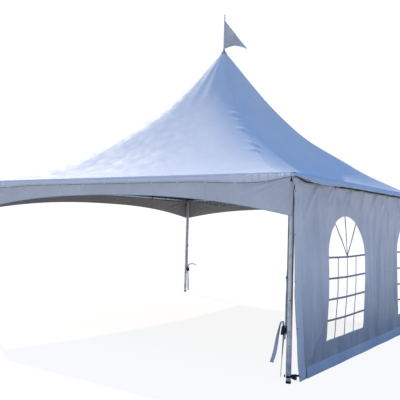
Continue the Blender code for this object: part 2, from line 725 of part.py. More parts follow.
def make_straps():
    """Webbing that pulls each roof corner down, and the strap under each ratchet."""
    for corner, (side_x, side_y) in CORNERS.items():
        tail = STICKING_TAIL if corner == "back_left" else HANGING_TAIL
        upper = flat_plate(f"corner_strap_{corner}",
                           strip_outline(upper_strap_path(tail), WEBBING_THICKNESS),
                           WEBBING_WIDTH, WEBBING)
        lower = flat_plate(f"lower_strap_{corner}",
                           strip_outline(lower_strap_path(), WEBBING_THICKNESS),
                           WEBBING_WIDTH, WEBBING)
        place_on_leg(upper, side_x, side_y)
        place_on_leg(lower, side_x, side_y)


def make_ratchets():
    """Ratchet on each leg: side plates, spool, eye bar, closed handle and the bolt to the leg."""
    plate_y = PLATE_GAP / 2 + PLATE_THICKNESS / 2
    cross = Euler((math.pi / 2, 0.0, 0.0))
    for corner, (side_x, side_y) in CORNERS.items():
        x, y = side_x * LEG_AXIS, side_y * LEG_AXIS
        name = f"strap_ratchet_{corner}"
        spool_x = x - side_x * RATCHET_OUT
        length = PLATE_GAP + 2 * PLATE_THICKNESS
        across = length - 2 * BITE
        plate_size = (PLATE_WIDTH, PLATE_THICKNESS, PLATE_HEIGHT)
        plate_x = spool_x + side_x * PLATE_INSET
        plate_z = RATCHET_Z - PLATE_DROP
        near = box(name, plate_size, (plate_x, y - plate_y, plate_z), BLACK_STEEL, parts)
        far = box(f"{name}_far", plate_size, (plate_x, y + plate_y, plate_z))
        spool = rod(f"{name}_spool", SPOOL_RADIUS, across, (spool_x, y, RATCHET_Z), cross)
        eye_bar = rod(f"{name}_eye", EYE_BAR_RADIUS, across,
                      (spool_x, y, RATCHET_Z - EYE_BAR_DROP), cross)
        bridge_z = RATCHET_Z - BRIDGE_DROP
        bridge = box(f"{name}_bridge", (BRIDGE_THICKNESS, across, BRIDGE_HEIGHT),
                     (spool_x + side_x * BRIDGE_INSET, y, bridge_z))
        bolt_length = RATCHET_OUT - BRIDGE_INSET - TUBE_RADIUS - GAP
        bolt = rod(f"{name}_bolt", RATCHET_BOLT_RADIUS, bolt_length,
                   (x - side_x * (TUBE_RADIUS + GAP + bolt_length / 2), y, bridge_z),
                   Euler((0.0, math.pi / 2, 0.0)), 16)
        pieces = [far, spool, eye_bar, bridge, bolt]
        for mark, offset in (("near", -1), ("far", 1)):
            arm_y = y + offset * (plate_y + PLATE_THICKNESS - BITE)
            arm = box(f"{name}_arm_{mark}", (HANDLE_WIDTH, PLATE_THICKNESS, HANDLE_LENGTH),
                      (spool_x - side_x * HANDLE_OUT, arm_y, RATCHET_Z - HANDLE_DROP))
            pieces.append(arm)
        grip = rod(f"{name}_grip", GRIP_RADIUS, across + 2 * PLATE_THICKNESS - 2 * BITE,
                   (spool_x - side_x * GRIP_OUT, y, RATCHET_Z - GRIP_DROP), cross)
        pieces.append(grip)
        combine(near, pieces, "UNION")


def make_wall_ties():
    """Black straps that tie the wall's bottom corners to the feet of its two legs."""
    bore = FOOT_SLEEVE_RADIUS + GAP
    ring = bore + TIE_THICKNESS
    hole = [tuple(point) for point in arc_path(Vector((0.0, 0.0)), bore, 0.0, 345.0, 24)]
    wall_face = WALL_BOTTOM_X - TIE_Z * WALL_LEAN
    reach = wall_face - LEG_AXIS - 2 * GAP
    for name, side_y in (("front", FRONT), ("back", BACK)):
        aim = math.degrees(math.atan2(-side_y * TIE_ALONG, reach))
        arc = arc_path(Vector((0.0, 0.0)), ring, aim + 82.0, aim + 278.0, 16)
        tips = [(reach, -side_y * (TIE_ALONG + TIE_TIP)), (reach, -side_y * TIE_ALONG)]
        outline = [tuple(point) for point in arc] + (tips if side_y == BACK else tips[::-1])
        tie = flat_plate(f"wall_tie_{name}", outline, TIE_HEIGHT, BLACK_RUBBER, [hole])
        tie.location = (LEG_AXIS, side_y * LEG_AXIS, TIE_Z)


def make_staff():
    """Flag staff with its round top, the cap round its foot, and the pennant."""
    profile = [(0.0, STAFF_TOP + 2 * FINIAL_RADIUS)]
    for k in range(1, 8):
        angle = math.pi / 2 - math.pi * k / 8
        height = STAFF_TOP + FINIAL_RADIUS + FINIAL_RADIUS * math.sin(angle)
        profile.append((FINIAL_RADIUS * math.cos(angle), height))
    profile += [
        (STAFF_TIP_RADIUS, STAFF_TOP),
        (STAFF_RADIUS, STAFF_TOP - STAFF_TAPER),
        (STAFF_RADIUS, STAFF_BOTTOM),
        (0.0, STAFF_BOTTOM),
    ]
    turned("flag_staff", profile, ALUMINIUM)
    make_peak_cap()
    make_pennant()


def make_peak_cap():
    """Boot that closes the membrane's peak round the staff."""
    bore = STAFF_RADIUS + GAP
    face = PEAK_Z + CAP_LIFT
    turned("peak_cap", [
        (bore, PEAK_Z + CAP_NECK_RISE),
        (CAP_NECK_RADIUS, PEAK_Z + CAP_NECK_RISE - CAP_THICKNESS),
        (CAP_SHOULDER_RADIUS, face - PEAK_SLOPE * CAP_NECK_RADIUS),
        (CAP_RADIUS, face - PEAK_SLOPE * CAP_RADIUS),
        (CAP_RADIUS, face - PEAK_SLOPE * CAP_RADIUS - CAP_THICKNESS),
        (bore, face - PEAK_SLOPE * bore - CAP_THICKNESS),
        (bore, PEAK_Z + CAP_NECK_RISE),
    ], CAP_PLASTIC)


def make_pennant():
    """Three-cornered pennant, with its lower edge arched up."""
    start = STAFF_RADIUS + GAP
    upper = Vector((start, PENNANT_TOP))
    tip = Vector((PENNANT_FLY, PENNANT_BOTTOM))
    lower = Vector((start, PENNANT_BOTTOM))
    count = 10
    belly = []
    for k in range(1, count):
        t = k / count
        point = tip.lerp(lower, t)
        point.y += PENNANT_BELLY * math.sin(math.pi * t)
        belly.append(tuple(point))
    outline = [tuple(upper), tuple(lower), *belly[::-1], tuple(tip)]
    pennant = flat_plate("pennant", outline, PENNANT_THICKNESS, PENNANT_CLOTH)
    pennant.rotation_euler = (math.pi / 2, 0.0, PENNANT_TURN)


make_legs()
make_foot_caps()
make_corner_fittings()
make_eave_rails()
make_mast()
make_cross_cables()
make_roof()
make_valances()
make_side_wall()
make_straps()
make_ratchets()
make_wall_ties()
make_staff()
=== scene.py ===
"""Looks of a high-peak frame tent: coated sheets, webbing, frame, hardware, light and camera.

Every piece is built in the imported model's own frame: metres, +Z up, origin on the ground under
the peak, open front bay towards -Y and the hung side wall towards +X.
"""

import logging
import math
import random
from dataclasses import dataclass, field
from enum import Enum
from typing import Callable, Iterable, Sequence

import bmesh
import bpy
import numpy as np
from mathutils import Matrix, Vector


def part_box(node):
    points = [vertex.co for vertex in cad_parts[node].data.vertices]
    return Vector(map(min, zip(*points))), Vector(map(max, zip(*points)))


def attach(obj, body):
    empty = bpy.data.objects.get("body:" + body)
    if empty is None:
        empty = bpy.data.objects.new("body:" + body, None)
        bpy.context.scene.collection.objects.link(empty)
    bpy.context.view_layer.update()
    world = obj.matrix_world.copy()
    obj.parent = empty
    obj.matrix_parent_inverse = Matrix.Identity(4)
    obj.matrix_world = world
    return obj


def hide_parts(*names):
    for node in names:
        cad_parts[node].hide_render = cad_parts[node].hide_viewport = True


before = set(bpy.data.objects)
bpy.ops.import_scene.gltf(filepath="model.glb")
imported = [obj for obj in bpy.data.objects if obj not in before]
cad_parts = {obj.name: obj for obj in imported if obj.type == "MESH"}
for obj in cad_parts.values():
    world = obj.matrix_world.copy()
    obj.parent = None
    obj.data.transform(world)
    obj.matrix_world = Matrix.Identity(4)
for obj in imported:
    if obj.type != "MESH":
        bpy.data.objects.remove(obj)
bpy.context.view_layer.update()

LOG = logging.getLogger("tent")
BODY = "root"
Colour = tuple[float, float, float]


class Slot(Enum):
    """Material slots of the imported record."""

    LEG = "leg_tube"
    RAIL = "rail_tube"
    CAST = "cast_fitting"
    CABLE = "steel_cable"
    FOOT = "foot_rubber"
    ROOF = "roof_sheet"
    VALANCE = "valance_sheet"
    WALL = "wall_sheet"
    SKIRT = "skirt_sheet"
    FILM = "clear_film"
    WEBBING = "webbing"
    BLACK_WEBBING = "black_webbing"
    BLACK_STEEL = "black_steel"
    STAFF = "staff_metal"
    CAP = "cap_plastic"
    PENNANT = "pennant_cloth"


class Side(Enum):
    """Sides of the tent, by the angle that turns the front into them."""

    FRONT = 0
    RIGHT = 90
    BACK = 180
    LEFT = 270

    @property
    def turn(self) -> Matrix:
        """Rotation about Z that takes the front side to this one."""
        return Matrix.Rotation(math.radians(self.value), 4, "Z")


class Corner(Enum):
    """Corners of the tent, as signs along X and Y."""

    FRONT_LEFT = (-1, -1)
    FRONT_RIGHT = (1, -1)
    BACK_LEFT = (-1, 1)
    BACK_RIGHT = (1, 1)

    @property
    def label(self) -> str:
        """Name of the corner as the nodes spell it."""
        return self.name.lower()

    @property
    def inward(self) -> Vector:
        """Level direction from the corner to the middle of the tent."""
        return Vector((-self.value[0], -self.value[1], 0.0)).normalized()


@dataclass(frozen=True)
class Sizes:
    """Driving sizes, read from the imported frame."""

    leg_axis: float
    tube_radius: float
    rail_z: float
    edge_radius: float
    leg_step_z: float = 0.100
    sleeve_radius: float = 0.027
    gap: float = 0.0005

    @classmethod
    def from_frame(cls) -> "Sizes":
        """Sizes of the legs, the rails and the roof's edge.

        Returns:
            The sizes that the other classes build from.
        """
        leg_low, leg_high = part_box("leg_front_right")
        rail_low, rail_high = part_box("eave_rail_front")
        axis = (leg_low.x + leg_high.x) / 2
        return cls(
            leg_axis=axis,
            tube_radius=(leg_high.x - leg_low.x) / 2,
            rail_z=(rail_low.z + rail_high.z) / 2,
            edge_radius=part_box("roof_cover")[1].x - axis,
        )

    def place(self, corner: Corner, height: float = 0.0) -> Vector:
        """Point on a leg's axis.

        Args:
            corner: the leg's corner.
            height: height above the ground.

        Returns:
            The point.
        """
        return Vector((corner.value[0] * self.leg_axis, corner.value[1] * self.leg_axis, height))


class NodeSheet:
    """Builds one material's nodes with short calls."""

    def __init__(self, name: str) -> None:
        """Start a material with a Principled shader.

        Args:
            name: the material's name.
        """
        self.material = bpy.data.materials.new(name)
        self.material.use_nodes = True
        self.tree = self.material.node_tree
        self.shader = self.tree.nodes["Principled BSDF"]
        coordinates = self.tree.nodes.new("ShaderNodeTexCoord")
        self.place = coordinates.outputs["Object"]
        self.uv = coordinates.outputs["UV"]

    def add(self, kind: str, settings: dict | None = None, **sockets) -> bpy.types.Node:
        """Add a node.

        Args:
            kind: the node's type without its ShaderNode prefix.
            settings: values of the node's own properties.
            **sockets: inputs by name, with _ for a space; a socket is linked, a value is set.

        Returns:
            The node.
        """
        node = self.tree.nodes.new("ShaderNode" + kind)
        for key, value in (settings or {}).items():
            setattr(node, key, value)
        for key, value in sockets.items():
            self.feed(node.inputs[key.replace("_", " ")], value)
        return node

    def feed(self, socket: bpy.types.NodeSocket, value) -> None:
        """Link an output to a socket, or set the socket's own value."""
        if isinstance(value, bpy.types.NodeSocket):
            self.tree.links.new(value, socket)
        else:
            socket.default_value = value

    def stretched(self, scale: Sequence[float], source=None) -> bpy.types.NodeSocket:
        """Coordinates with a scale along each axis."""
        node = self.add("Mapping", Vector=source or self.place, Scale=tuple(scale))
        return node.outputs["Vector"]

    def noise(self, scale: float, detail: float = 3.0, place=None) -> bpy.types.NodeSocket:
        """Soft noise between 0 and 1."""
        node = self.add("TexNoise", Vector=place or self.place, Scale=scale, Detail=detail)
        return node.outputs["Fac"]

    def wave(self, scale: float, axis: str, place=None, distortion: float = 0.0):
        """Parallel ribs between 0 and 1 along an axis."""
        node = self.add("TexWave", {"wave_type": "BANDS", "bands_direction": axis},
                        Vector=place or self.place, Scale=scale, Distortion=distortion)
        return node.outputs["Fac"]

    def remap(self, value, low: float, high: float, start: float, end: float):
        """Value stretched from low..high to start..end, and clamped."""
        node = self.add("MapRange", Value=value)
        for name, number in (("From Min", low), ("From Max", high), ("To Min", start),
                             ("To Max", end)):
            node.inputs[name].default_value = number
        return node.outputs["Result"]

    def maths(self, operation: str, first, second) -> bpy.types.NodeSocket:
        """Result of a two-value operation."""
        node = self.add("Math", {"operation": operation})
        self.feed(node.inputs[0], first)
        self.feed(node.inputs[1], second)
        return node.outputs["Value"]

    def blend(self, share, first, second) -> bpy.types.NodeSocket:
        """Colour between two colours or colour outputs."""
        node = self.add("Mix", {"data_type": "RGBA"})
        self.feed(node.inputs[0], share)
        for index, colour in ((6, first), (7, second)):
            opaque = (*colour, 1.0) if isinstance(colour, tuple) else colour
            self.feed(node.inputs[index], opaque)
        return node.outputs[2]

    def bump(self, height, distance: float, strength: float = 1.0, under=None):
        """Normal from a height in metres over a distance."""
        node = self.add("Bump", Height=height, Distance=distance, Strength=strength)
        if under is not None:
            self.feed(node.inputs["Normal"], under)
        return node.outputs["Normal"]

    def finish(self, **sockets) -> bpy.types.Material:
        """Feed the shader's sockets.

        Args:
            **sockets: shader inputs by name, with _ for a space.

        Returns:
            The finished material.
        """
        for key, value in sockets.items():
            self.feed(self.shader.inputs[key.replace("_", " ")], value)
        return self.material


@dataclass(frozen=True)
class Finish:
    """A finish that makes its material once."""

    name: str
    colour: Colour
    roughness: float

    def material(self) -> bpy.types.Material:
        """The finish's material, made at its first use."""
        return bpy.data.materials.get(self.name) or self.dress(NodeSheet(self.name))

    def dress(self, sheet: NodeSheet) -> bpy.types.Material:
        """Build the nodes.

        Args:
            sheet: the new material.

        Returns:
            The finished material.
        """
        raise NotImplementedError


@dataclass(frozen=True)
class CoatedSheet(Finish):
    """Polyester scrim between two vinyl coats, satin, with faint dusty streaks, a fine weave, and on
    the wall painted shade that darkens it towards the bottom.
    """

    shade: Colour = (0.66, 0.69, 0.74)
    # Colour of the dusty streaks, and also the colour that the painted shade low down darkens towards.
    dust_and_shade: Colour = (0.58, 0.56, 0.52)
    dust_share: float = 0.12
    crumple: float = 0.0016
    gloss: float = 0.30
    # Strength of the painted shade that darkens the sheet towards the ground, below 1.35 m.
    painted_low_shade: float = 0.0
    drape: float = 0.0

    def dress(self, sheet: NodeSheet) -> bpy.types.Material:
        """Build the nodes: drifts of tone, dusty streaks, painted shade low down, weave and soft
        crumples.
        """
        drift = sheet.remap(sheet.noise(1.1, 4.0), 0.35, 0.68, 0.0, 1.0)
        toned = sheet.blend(drift, self.colour, self.shade)
        streaks = sheet.noise(2.2, 5.0, sheet.stretched((1.6, 1.6, 0.35)))
        dusty = sheet.remap(streaks, 0.52, 0.78, 0.0, self.dust_share)
        # Painted shade: below 1.35 m the colour is pulled towards the dark dusty colour, in blotches
        # and more strongly lower down. It stands in for shade near the ground.
        split = sheet.add("SeparateXYZ", Vector=sheet.place)
        low = sheet.remap(split.outputs["Z"], 1.35, 0.25, 0.0, self.painted_low_shade)
        low_shade_share = sheet.maths("MULTIPLY", low, sheet.remap(streaks, 0.3, 0.6, 0.55, 1.0))
        base = sheet.blend(low_shade_share, sheet.blend(dusty, toned, self.dust_and_shade), self.dust_and_shade)
        rough = sheet.remap(sheet.noise(6.0, 3.0), 0.3, 0.7, self.roughness - 0.05,
                            self.roughness + 0.07)
        soft = sheet.bump(sheet.noise(7.0, 3.0), self.crumple * 4.0, 0.35)
        creased = sheet.bump(sheet.noise(34.0, 2.0), self.crumple, 0.25, soft)
        if self.drape > 0.0:
            hung = sheet.noise(5.5, 3.0, sheet.stretched((1.0, 1.0, 0.40)))
            creased = sheet.bump(hung, self.drape, 0.8, creased)
        weave_x = sheet.wave(260.0, "X")
        weave_z = sheet.wave(260.0, "Z")
        weave = sheet.maths("MULTIPLY", weave_x, weave_z)
        woven = sheet.bump(weave, 0.0002, 0.18, creased)
        return sheet.finish(Base_Color=base, Roughness=rough, Normal=woven,
                            Specular_IOR_Level=self.gloss)


@dataclass(frozen=True)
class ClearFilm(Finish):
    """Clear flexible vinyl with soft ripples and a few haze marks."""

    opacity: float = 0.025

    def dress(self, sheet: NodeSheet) -> bpy.types.Material:
        """Build the nodes: almost clear, glossy and slightly wavy."""
        haze = sheet.remap(sheet.noise(5.0, 5.0), 0.45, 0.75, self.opacity, self.opacity * 2.0)
        ripple = sheet.bump(sheet.noise(3.2, 2.0), 0.02, 0.4)
        tinted = sheet.blend(sheet.noise(2.0), self.colour, (0.80, 0.85, 0.90))
        return sheet.finish(Base_Color=tinted, Roughness=self.roughness, Alpha=haze,
                            Normal=ripple, IOR=1.52)


@dataclass(frozen=True)
class Webbing(Finish):
    """Woven polyester strap: ribs across, cords along, paler worn patches."""

    edge: Colour = (0.70, 0.74, 0.82)

    def dress(self, sheet: NodeSheet) -> bpy.types.Material:
        """Build the nodes on the strap's own map, which is in metres."""
        ribs = sheet.wave(190.0, "Y", sheet.uv)
        cords = sheet.wave(120.0, "X", sheet.uv, 0.4)
        weave = sheet.maths("MULTIPLY", ribs, cords)
        darker = tuple(channel * 0.88 for channel in self.colour)
        base = sheet.blend(sheet.remap(weave, 0.0, 0.6, 0.0, 1.0), darker, self.colour)
        worn = sheet.remap(sheet.noise(14.0, 4.0), 0.5, 0.8, 0.0, 0.5)
        faded = sheet.blend(worn, base, self.edge)
        normal = sheet.bump(weave, 0.0006, 0.7)
        return sheet.finish(Base_Color=faded, Roughness=self.roughness, Normal=normal,
                            Sheen_Weight=0.25, Sheen_Roughness=0.5)


@dataclass(frozen=True)
class DrawnTube(Finish):
    """Drawn aluminium: fine lengthwise lines, dull oxide patches and scuffs."""

    grain: tuple[float, float, float] = (90.0, 90.0, 1.2)
    scuff: Colour = (0.30, 0.30, 0.31)

    def dress(self, sheet: NodeSheet) -> bpy.types.Material:
        """Build the nodes: drawing lines along the tube and blotchy oxide."""
        lines = sheet.noise(1.0, 3.0, sheet.stretched(self.grain))
        oxide = sheet.remap(sheet.noise(9.0, 5.0), 0.46, 0.72, 0.0, 0.55)
        streaked = sheet.blend(sheet.remap(lines, 0.3, 0.7, 0.0, 0.35), self.colour,
                               tuple(channel * 0.8 for channel in self.colour))
        base = sheet.blend(oxide, streaked, self.scuff)
        rough = sheet.remap(sheet.noise(22.0, 4.0), 0.3, 0.7, self.roughness - 0.06,
                            self.roughness + 0.14)
        normal = sheet.bump(lines, 0.0002, 0.35)
        return sheet.finish(Base_Color=base, Roughness=rough, Metallic=1.0, Normal=normal)


@dataclass(frozen=True)
class CastMetal(Finish):
    """Sand-cast or forged metal: grainy, with darker patches."""

    metallic: float = 1.0
    grain_depth: float = 0.0006

    def dress(self, sheet: NodeSheet) -> bpy.types.Material:
        """Build the nodes: cast grain in colour, roughness and relief."""
        grain = sheet.noise(160.0, 4.0)
        patch = sheet.remap(sheet.noise(18.0, 4.0), 0.4, 0.7, 0.0, 0.6)
        darker = tuple(channel * 0.55 for channel in self.colour)
        base = sheet.blend(patch, self.colour, darker)
        rough = sheet.remap(grain, 0.3, 0.7, self.roughness - 0.08, self.roughness + 0.12)
        return sheet.finish(Base_Color=base, Roughness=rough, Metallic=self.metallic,
                            Normal=sheet.bump(grain, self.grain_depth, 0.5))


@dataclass(frozen=True)
class Moulded(Finish):
    """Moulded plastic or rubber: fine spark grain and rubbed patches."""

    rubbed: Colour = (0.12, 0.12, 0.12)

    def dress(self, sheet: NodeSheet) -> bpy.types.Material:
        """Build the nodes: spark grain and dusty rubbed patches."""
        grain = sheet.noise(420.0, 2.0)
        rubs = sheet.remap(sheet.noise(30.0, 5.0), 0.5, 0.8, 0.0, 0.7)
        base = sheet.blend(rubs, self.colour, self.rubbed)
        rough = sheet.remap(grain, 0.3, 0.7, self.roughness - 0.06, self.roughness + 0.10)
        return sheet.finish(Base_Color=base, Roughness=rough,
                            Normal=sheet.bump(grain, 0.0003, 0.4))


@dataclass(frozen=True)
class FlagCloth(Finish):
    """Light woven nylon with a visible weave and soft tone drifts."""

    shade: Colour = (0.25, 0.33, 0.47)

    def dress(self, sheet: NodeSheet) -> bpy.types.Material:
        """Build the nodes: weave bump and drifts of tone."""
        drift = sheet.remap(sheet.noise(4.0, 3.0), 0.35, 0.7, 0.0, 1.0)
        base = sheet.blend(drift, self.colour, self.shade)
        weave = sheet.maths("MULTIPLY", sheet.wave(300.0, "X"), sheet.wave(300.0, "Z"))
        return sheet.finish(Base_Color=base, Roughness=self.roughness,
                            Normal=sheet.bump(weave, 0.0003, 0.4),
                            Sheen_Weight=0.3, Sheen_Roughness=0.4)


ROOF_WHITE = CoatedSheet("roof_vinyl", (0.80, 0.81, 0.83), 0.62, shade=(0.75, 0.77, 0.80),
                         gloss=0.06, crumple=0.0008)
# Partly the lining's own grey, partly painted shade: darkened well below the sheet's colour to stand
# in for the shade under the roof.
ROOF_INNER = CoatedSheet("roof_lining", (0.16, 0.155, 0.15), 0.65, shade=(0.12, 0.115, 0.11),
                         gloss=0.10)
VALANCE_WHITE = CoatedSheet("valance_vinyl", (0.76, 0.76, 0.76), 0.50, shade=(0.64, 0.65, 0.66),
                            drape=0.03)
# Partly the lining's own grey, partly painted shade: darkened to stand in for the shade on the inner
# faces of the strips and the wall.
VALANCE_INNER = CoatedSheet("valance_lining", (0.46, 0.45, 0.43), 0.65, shade=(0.40, 0.39, 0.37),
                            gloss=0.10)
# The hem's finish is darker and bluer than the strips above it.
HEM_BAND = CoatedSheet("hem_vinyl", (0.42, 0.50, 0.66), 0.45, shade=(0.34, 0.42, 0.58))
# The wall's dark dusty colour and its low-shade strength paint shade over its lower part, darker
# towards the ground.
WALL_WHITE = CoatedSheet("wall_vinyl", (0.84, 0.84, 0.85), 0.40, shade=(0.70, 0.71, 0.73),
                         dust_and_shade=(0.25, 0.25, 0.26), dust_share=0.20, crumple=0.003, gloss=0.5,
                         painted_low_shade=0.62, drape=0.035)
BAND_WHITE = CoatedSheet("band_vinyl", (0.90, 0.90, 0.90), 0.42, shade=(0.74, 0.75, 0.77),
                         crumple=0.002, gloss=0.4, drape=0.03)
# Painted sunlight: a brighter, warmer copy of the roof vinyl, for the edge bands on the open sides and
# the lip hem all round.
EDGE_SUNLIT_WHITE = CoatedSheet("edge_vinyl", (0.90, 0.89, 0.87), 0.60, shade=(0.84, 0.84, 0.84),
                         gloss=0.1)
# Painted skylight: a pale blue copy of the edge vinyl, for the edge over the wall, which faces away
# from the key light.
EDGE_SKYLIT_BLUE = CoatedSheet("edge_vinyl_painted_skylight", (0.70, 0.78, 0.92), 0.60, shade=(0.62, 0.72, 0.88),
                        gloss=0.1)
SKIRT_BLUE = CoatedSheet("skirt_vinyl", (0.70, 0.77, 0.85), 0.42, shade=(0.54, 0.63, 0.77),
                         gloss=0.5)
WINDOW_FILM = ClearFilm("window_film", (0.92, 0.95, 0.98), 0.06)
# Painted shade: the bars are white vinyl, given a dark grey finish for how they look in shade.
WINDOW_BAR_SHADED = CoatedSheet("window_bar_painted_shade", (0.40, 0.42, 0.45), 0.45, shade=(0.34, 0.36, 0.39),
                         gloss=0.1)
STRAP_GREY = Webbing("strap_webbing", (0.88, 0.91, 0.95), 0.78, edge=(0.92, 0.93, 0.95))
STRAP_BLACK = Webbing("black_webbing", (0.020, 0.020, 0.022), 0.75, edge=(0.06, 0.06, 0.07))
LEG_TUBE = DrawnTube("leg_aluminium", (0.76, 0.76, 0.77), 0.40)
RAIL_TUBE_X = DrawnTube("rail_aluminium_x", (0.58, 0.59, 0.60), 0.36, grain=(1.2, 90.0, 90.0))
RAIL_TUBE_Y = DrawnTube("rail_aluminium_y", (0.58, 0.59, 0.60), 0.36, grain=(90.0, 1.2, 90.0))
CAST_GREY = CastMetal("cast_aluminium", (0.50, 0.51, 0.53), 0.48)
GALVANISED = CastMetal("galvanised_steel", (0.46, 0.47, 0.49), 0.40, grain_depth=0.0003)
BLACK_STEEL = CastMetal("black_steel", (0.030, 0.030, 0.032), 0.42, metallic=0.3,
                        grain_depth=0.0002)
# Partly the eyelets' nickel, partly painted shade: the same dark finish closes each hole and stands
# for its shade.
NICKEL_AND_HOLE_SHADE = CastMetal("eyelet_nickel_and_hole_shade", (0.28, 0.29, 0.31), 0.30, grain_depth=0.0001)
FOOT_RUBBER = Moulded("foot_rubber", (0.018, 0.018, 0.018), 0.78, rubbed=(0.10, 0.10, 0.09))
BLACK_PLASTIC = Moulded("black_plastic", (0.015, 0.015, 0.016), 0.45, rubbed=(0.05, 0.05, 0.05))
# Dark grey finish that paints the shade line under the roof's lip on the front, back and left.
SEAM_SHADE_GREY = Moulded("seam_tape", (0.17, 0.18, 0.20), 0.80, rubbed=(0.24, 0.25, 0.27))
# Near-black finish that paints shade: the dark of the corner slits' openings, and the shade line under
# the roof's lip over the wall.
PAINTED_SHADE_DARK = Moulded("painted_shade_dark", (0.045, 0.040, 0.034), 0.85, rubbed=(0.07, 0.06, 0.05))
ORANGE_PLASTIC = Moulded("orange_plastic", (0.85, 0.16, 0.03), 0.45, rubbed=(0.60, 0.18, 0.07))
CAP_PLASTIC = Moulded("cap_plastic", (0.42, 0.45, 0.52), 0.45, rubbed=(0.34, 0.36, 0.42))
PENNANT_CLOTH = FlagCloth("pennant_nylon", (0.76, 0.74, 0.70), 0.62, shade=(0.60, 0.60, 0.60))
PENNANT_SLEEVE = FlagCloth("pennant_sleeve", (0.72, 0.76, 0.84), 0.60, shade=(0.60, 0.66, 0.77))


def smoothstep(value: np.ndarray, low: float, high: float) -> np.ndarray:
    """Rise from 0 at low to 1 at high, with level ends."""
    share = np.clip((value - low) / (high - low), 0.0, 1.0)
    return share * share * (3.0 - 2.0 * share)


def ridge(along: np.ndarray, up: np.ndarray, start: tuple[float, float], end: tuple[float, float],
          width: float, spread: float = 0.0) -> np.ndarray:
    """Height from 0 to 1 of a fold that runs from one point to another.

    Args:
        along: first coordinate of each place.
        up: second coordinate of each place.
        start: where the fold is highest.
        end: where it has died out.
        width: half width at its start.
        spread: extra half width at its end.

    Returns:
        The fold's height at each place.
    """
    run_a, run_b = end[0] - start[0], end[1] - start[1]
    length = math.hypot(run_a, run_b)
    run_a, run_b = run_a / length, run_b / length
    forward = ((along - start[0]) * run_a + (up - start[1]) * run_b) / length
    aside = (up - start[1]) * run_a - (along - start[0]) * run_b
    half = width + spread * np.clip(forward, 0.0, 1.0)
    body = smoothstep(forward, -0.06, 0.05) * (1.0 - smoothstep(forward, 0.35, 1.0))
    return body * np.exp(-(aside / half) ** 2)


def coordinates(mesh: bpy.types.Mesh) -> np.ndarray:
    """Vertex coordinates of a mesh, one row each."""
    flat = np.empty(len(mesh.vertices) * 3)
    mesh.vertices.foreach_get("co", flat)
    return flat.reshape(-1, 3)


def grid(columns: int, rows: int) -> bmesh.types.BMesh:
    """Square grid from -1 to 1 along X and Y, with a map of the same square."""
    shape = bmesh.new()
    bmesh.ops.create_grid(shape, x_segments=columns, y_segments=rows, size=1.0, calc_uvs=True)
    return shape


def bent(shape: bmesh.types.BMesh, rule: Callable[[float, float], Vector]) -> bmesh.types.BMesh:
    """Move every vertex of a flat grid to its place.

    Args:
        shape: grid from -1 to 1.
        rule: place for two grid coordinates.

    Returns:
        The same shape.
    """
    for vert in shape.verts:
        vert.co = rule(vert.co.x, vert.co.y)
    return shape


def joined(shapes: Iterable[bmesh.types.BMesh]) -> bmesh.types.BMesh:
    """One shape that holds several, which are freed."""
    whole = bmesh.new()
    for shape in shapes:
        mesh = bpy.data.meshes.new("part")
        shape.to_mesh(mesh)
        shape.free()
        whole.from_mesh(mesh)
        bpy.data.meshes.remove(mesh)
    return whole


def turned(profile: Sequence[tuple[float, float]], sides: int = 32) -> bmesh.types.BMesh:
    """Solid of revolution about Z.

    Args:
        profile: radius and height of each point, from one end of the outline to the other.
        sides: steps round the axis.

    Returns:
        The closed shape.
    """
    shape = bmesh.new()
    verts = [shape.verts.new((radius, 0.0, height)) for radius, height in profile]
    edges = [shape.edges.new(pair) for pair in zip(verts, verts[1:])]
    bmesh.ops.spin(shape, geom=verts + edges, cent=(0.0, 0.0, 0.0), axis=(0.0, 0.0, 1.0),
                   dvec=(0.0, 0.0, 0.0), angle=math.tau, steps=sides, use_merge=True)
    bmesh.ops.remove_doubles(shape, verts=shape.verts, dist=1e-6)
    bmesh.ops.recalc_face_normals(shape, faces=shape.faces)
    return shape


def moved(shape: bmesh.types.BMesh, matrix: Matrix) -> bmesh.types.BMesh:
    """Transform a whole shape, and keep its faces outward if the matrix mirrors."""
    bmesh.ops.transform(shape, matrix=matrix, verts=shape.verts)
    if matrix.determinant() < 0.0:
        bmesh.ops.reverse_faces(shape, faces=shape.faces)
    return shape


def block(size: Sequence[float], centre: Sequence[float], bevel: float = 0.0,
          segments: int = 2) -> bmesh.types.BMesh:
    """Bevelled block.

    Args:
        size: length along each axis.
        centre: its middle.
        bevel: width of its rounded edges.
        segments: steps across a rounded edge.

    Returns:
        The shape.
    """
    shape = bmesh.new()
    bmesh.ops.create_cube(shape, size=1.0)
    bmesh.ops.scale(shape, vec=Vector(size), verts=shape.verts)
    if bevel > 0.0:
        bmesh.ops.bevel(shape, geom=shape.edges[:], offset=bevel, segments=segments, profile=0.5,
                        affect="EDGES", material=-1)
    bmesh.ops.translate(shape, vec=Vector(centre), verts=shape.verts)
    return shape


def aimed(start: Vector, end: Vector) -> Matrix:
    """Placement that takes the Z axis from the origin onto a line."""
    run = end - start
    return Matrix.Translation(start) @ run.to_track_quat("Z", "Y").to_matrix().to_4x4()


def bar(start: Vector, end: Vector, radius: float, sides: int = 16,
        bevel: float = 0.0) -> bmesh.types.BMesh:
    """Round bar between two points, with bevelled ends."""
    length = (end - start).length
    edge = bevel or radius * 0.12
    profile = [(0.0, 0.0), (radius - edge, 0.0), (radius, edge), (radius, length - edge),
               (radius - edge, length), (0.0, length)]
    return moved(turned(profile, sides), aimed(start, end))


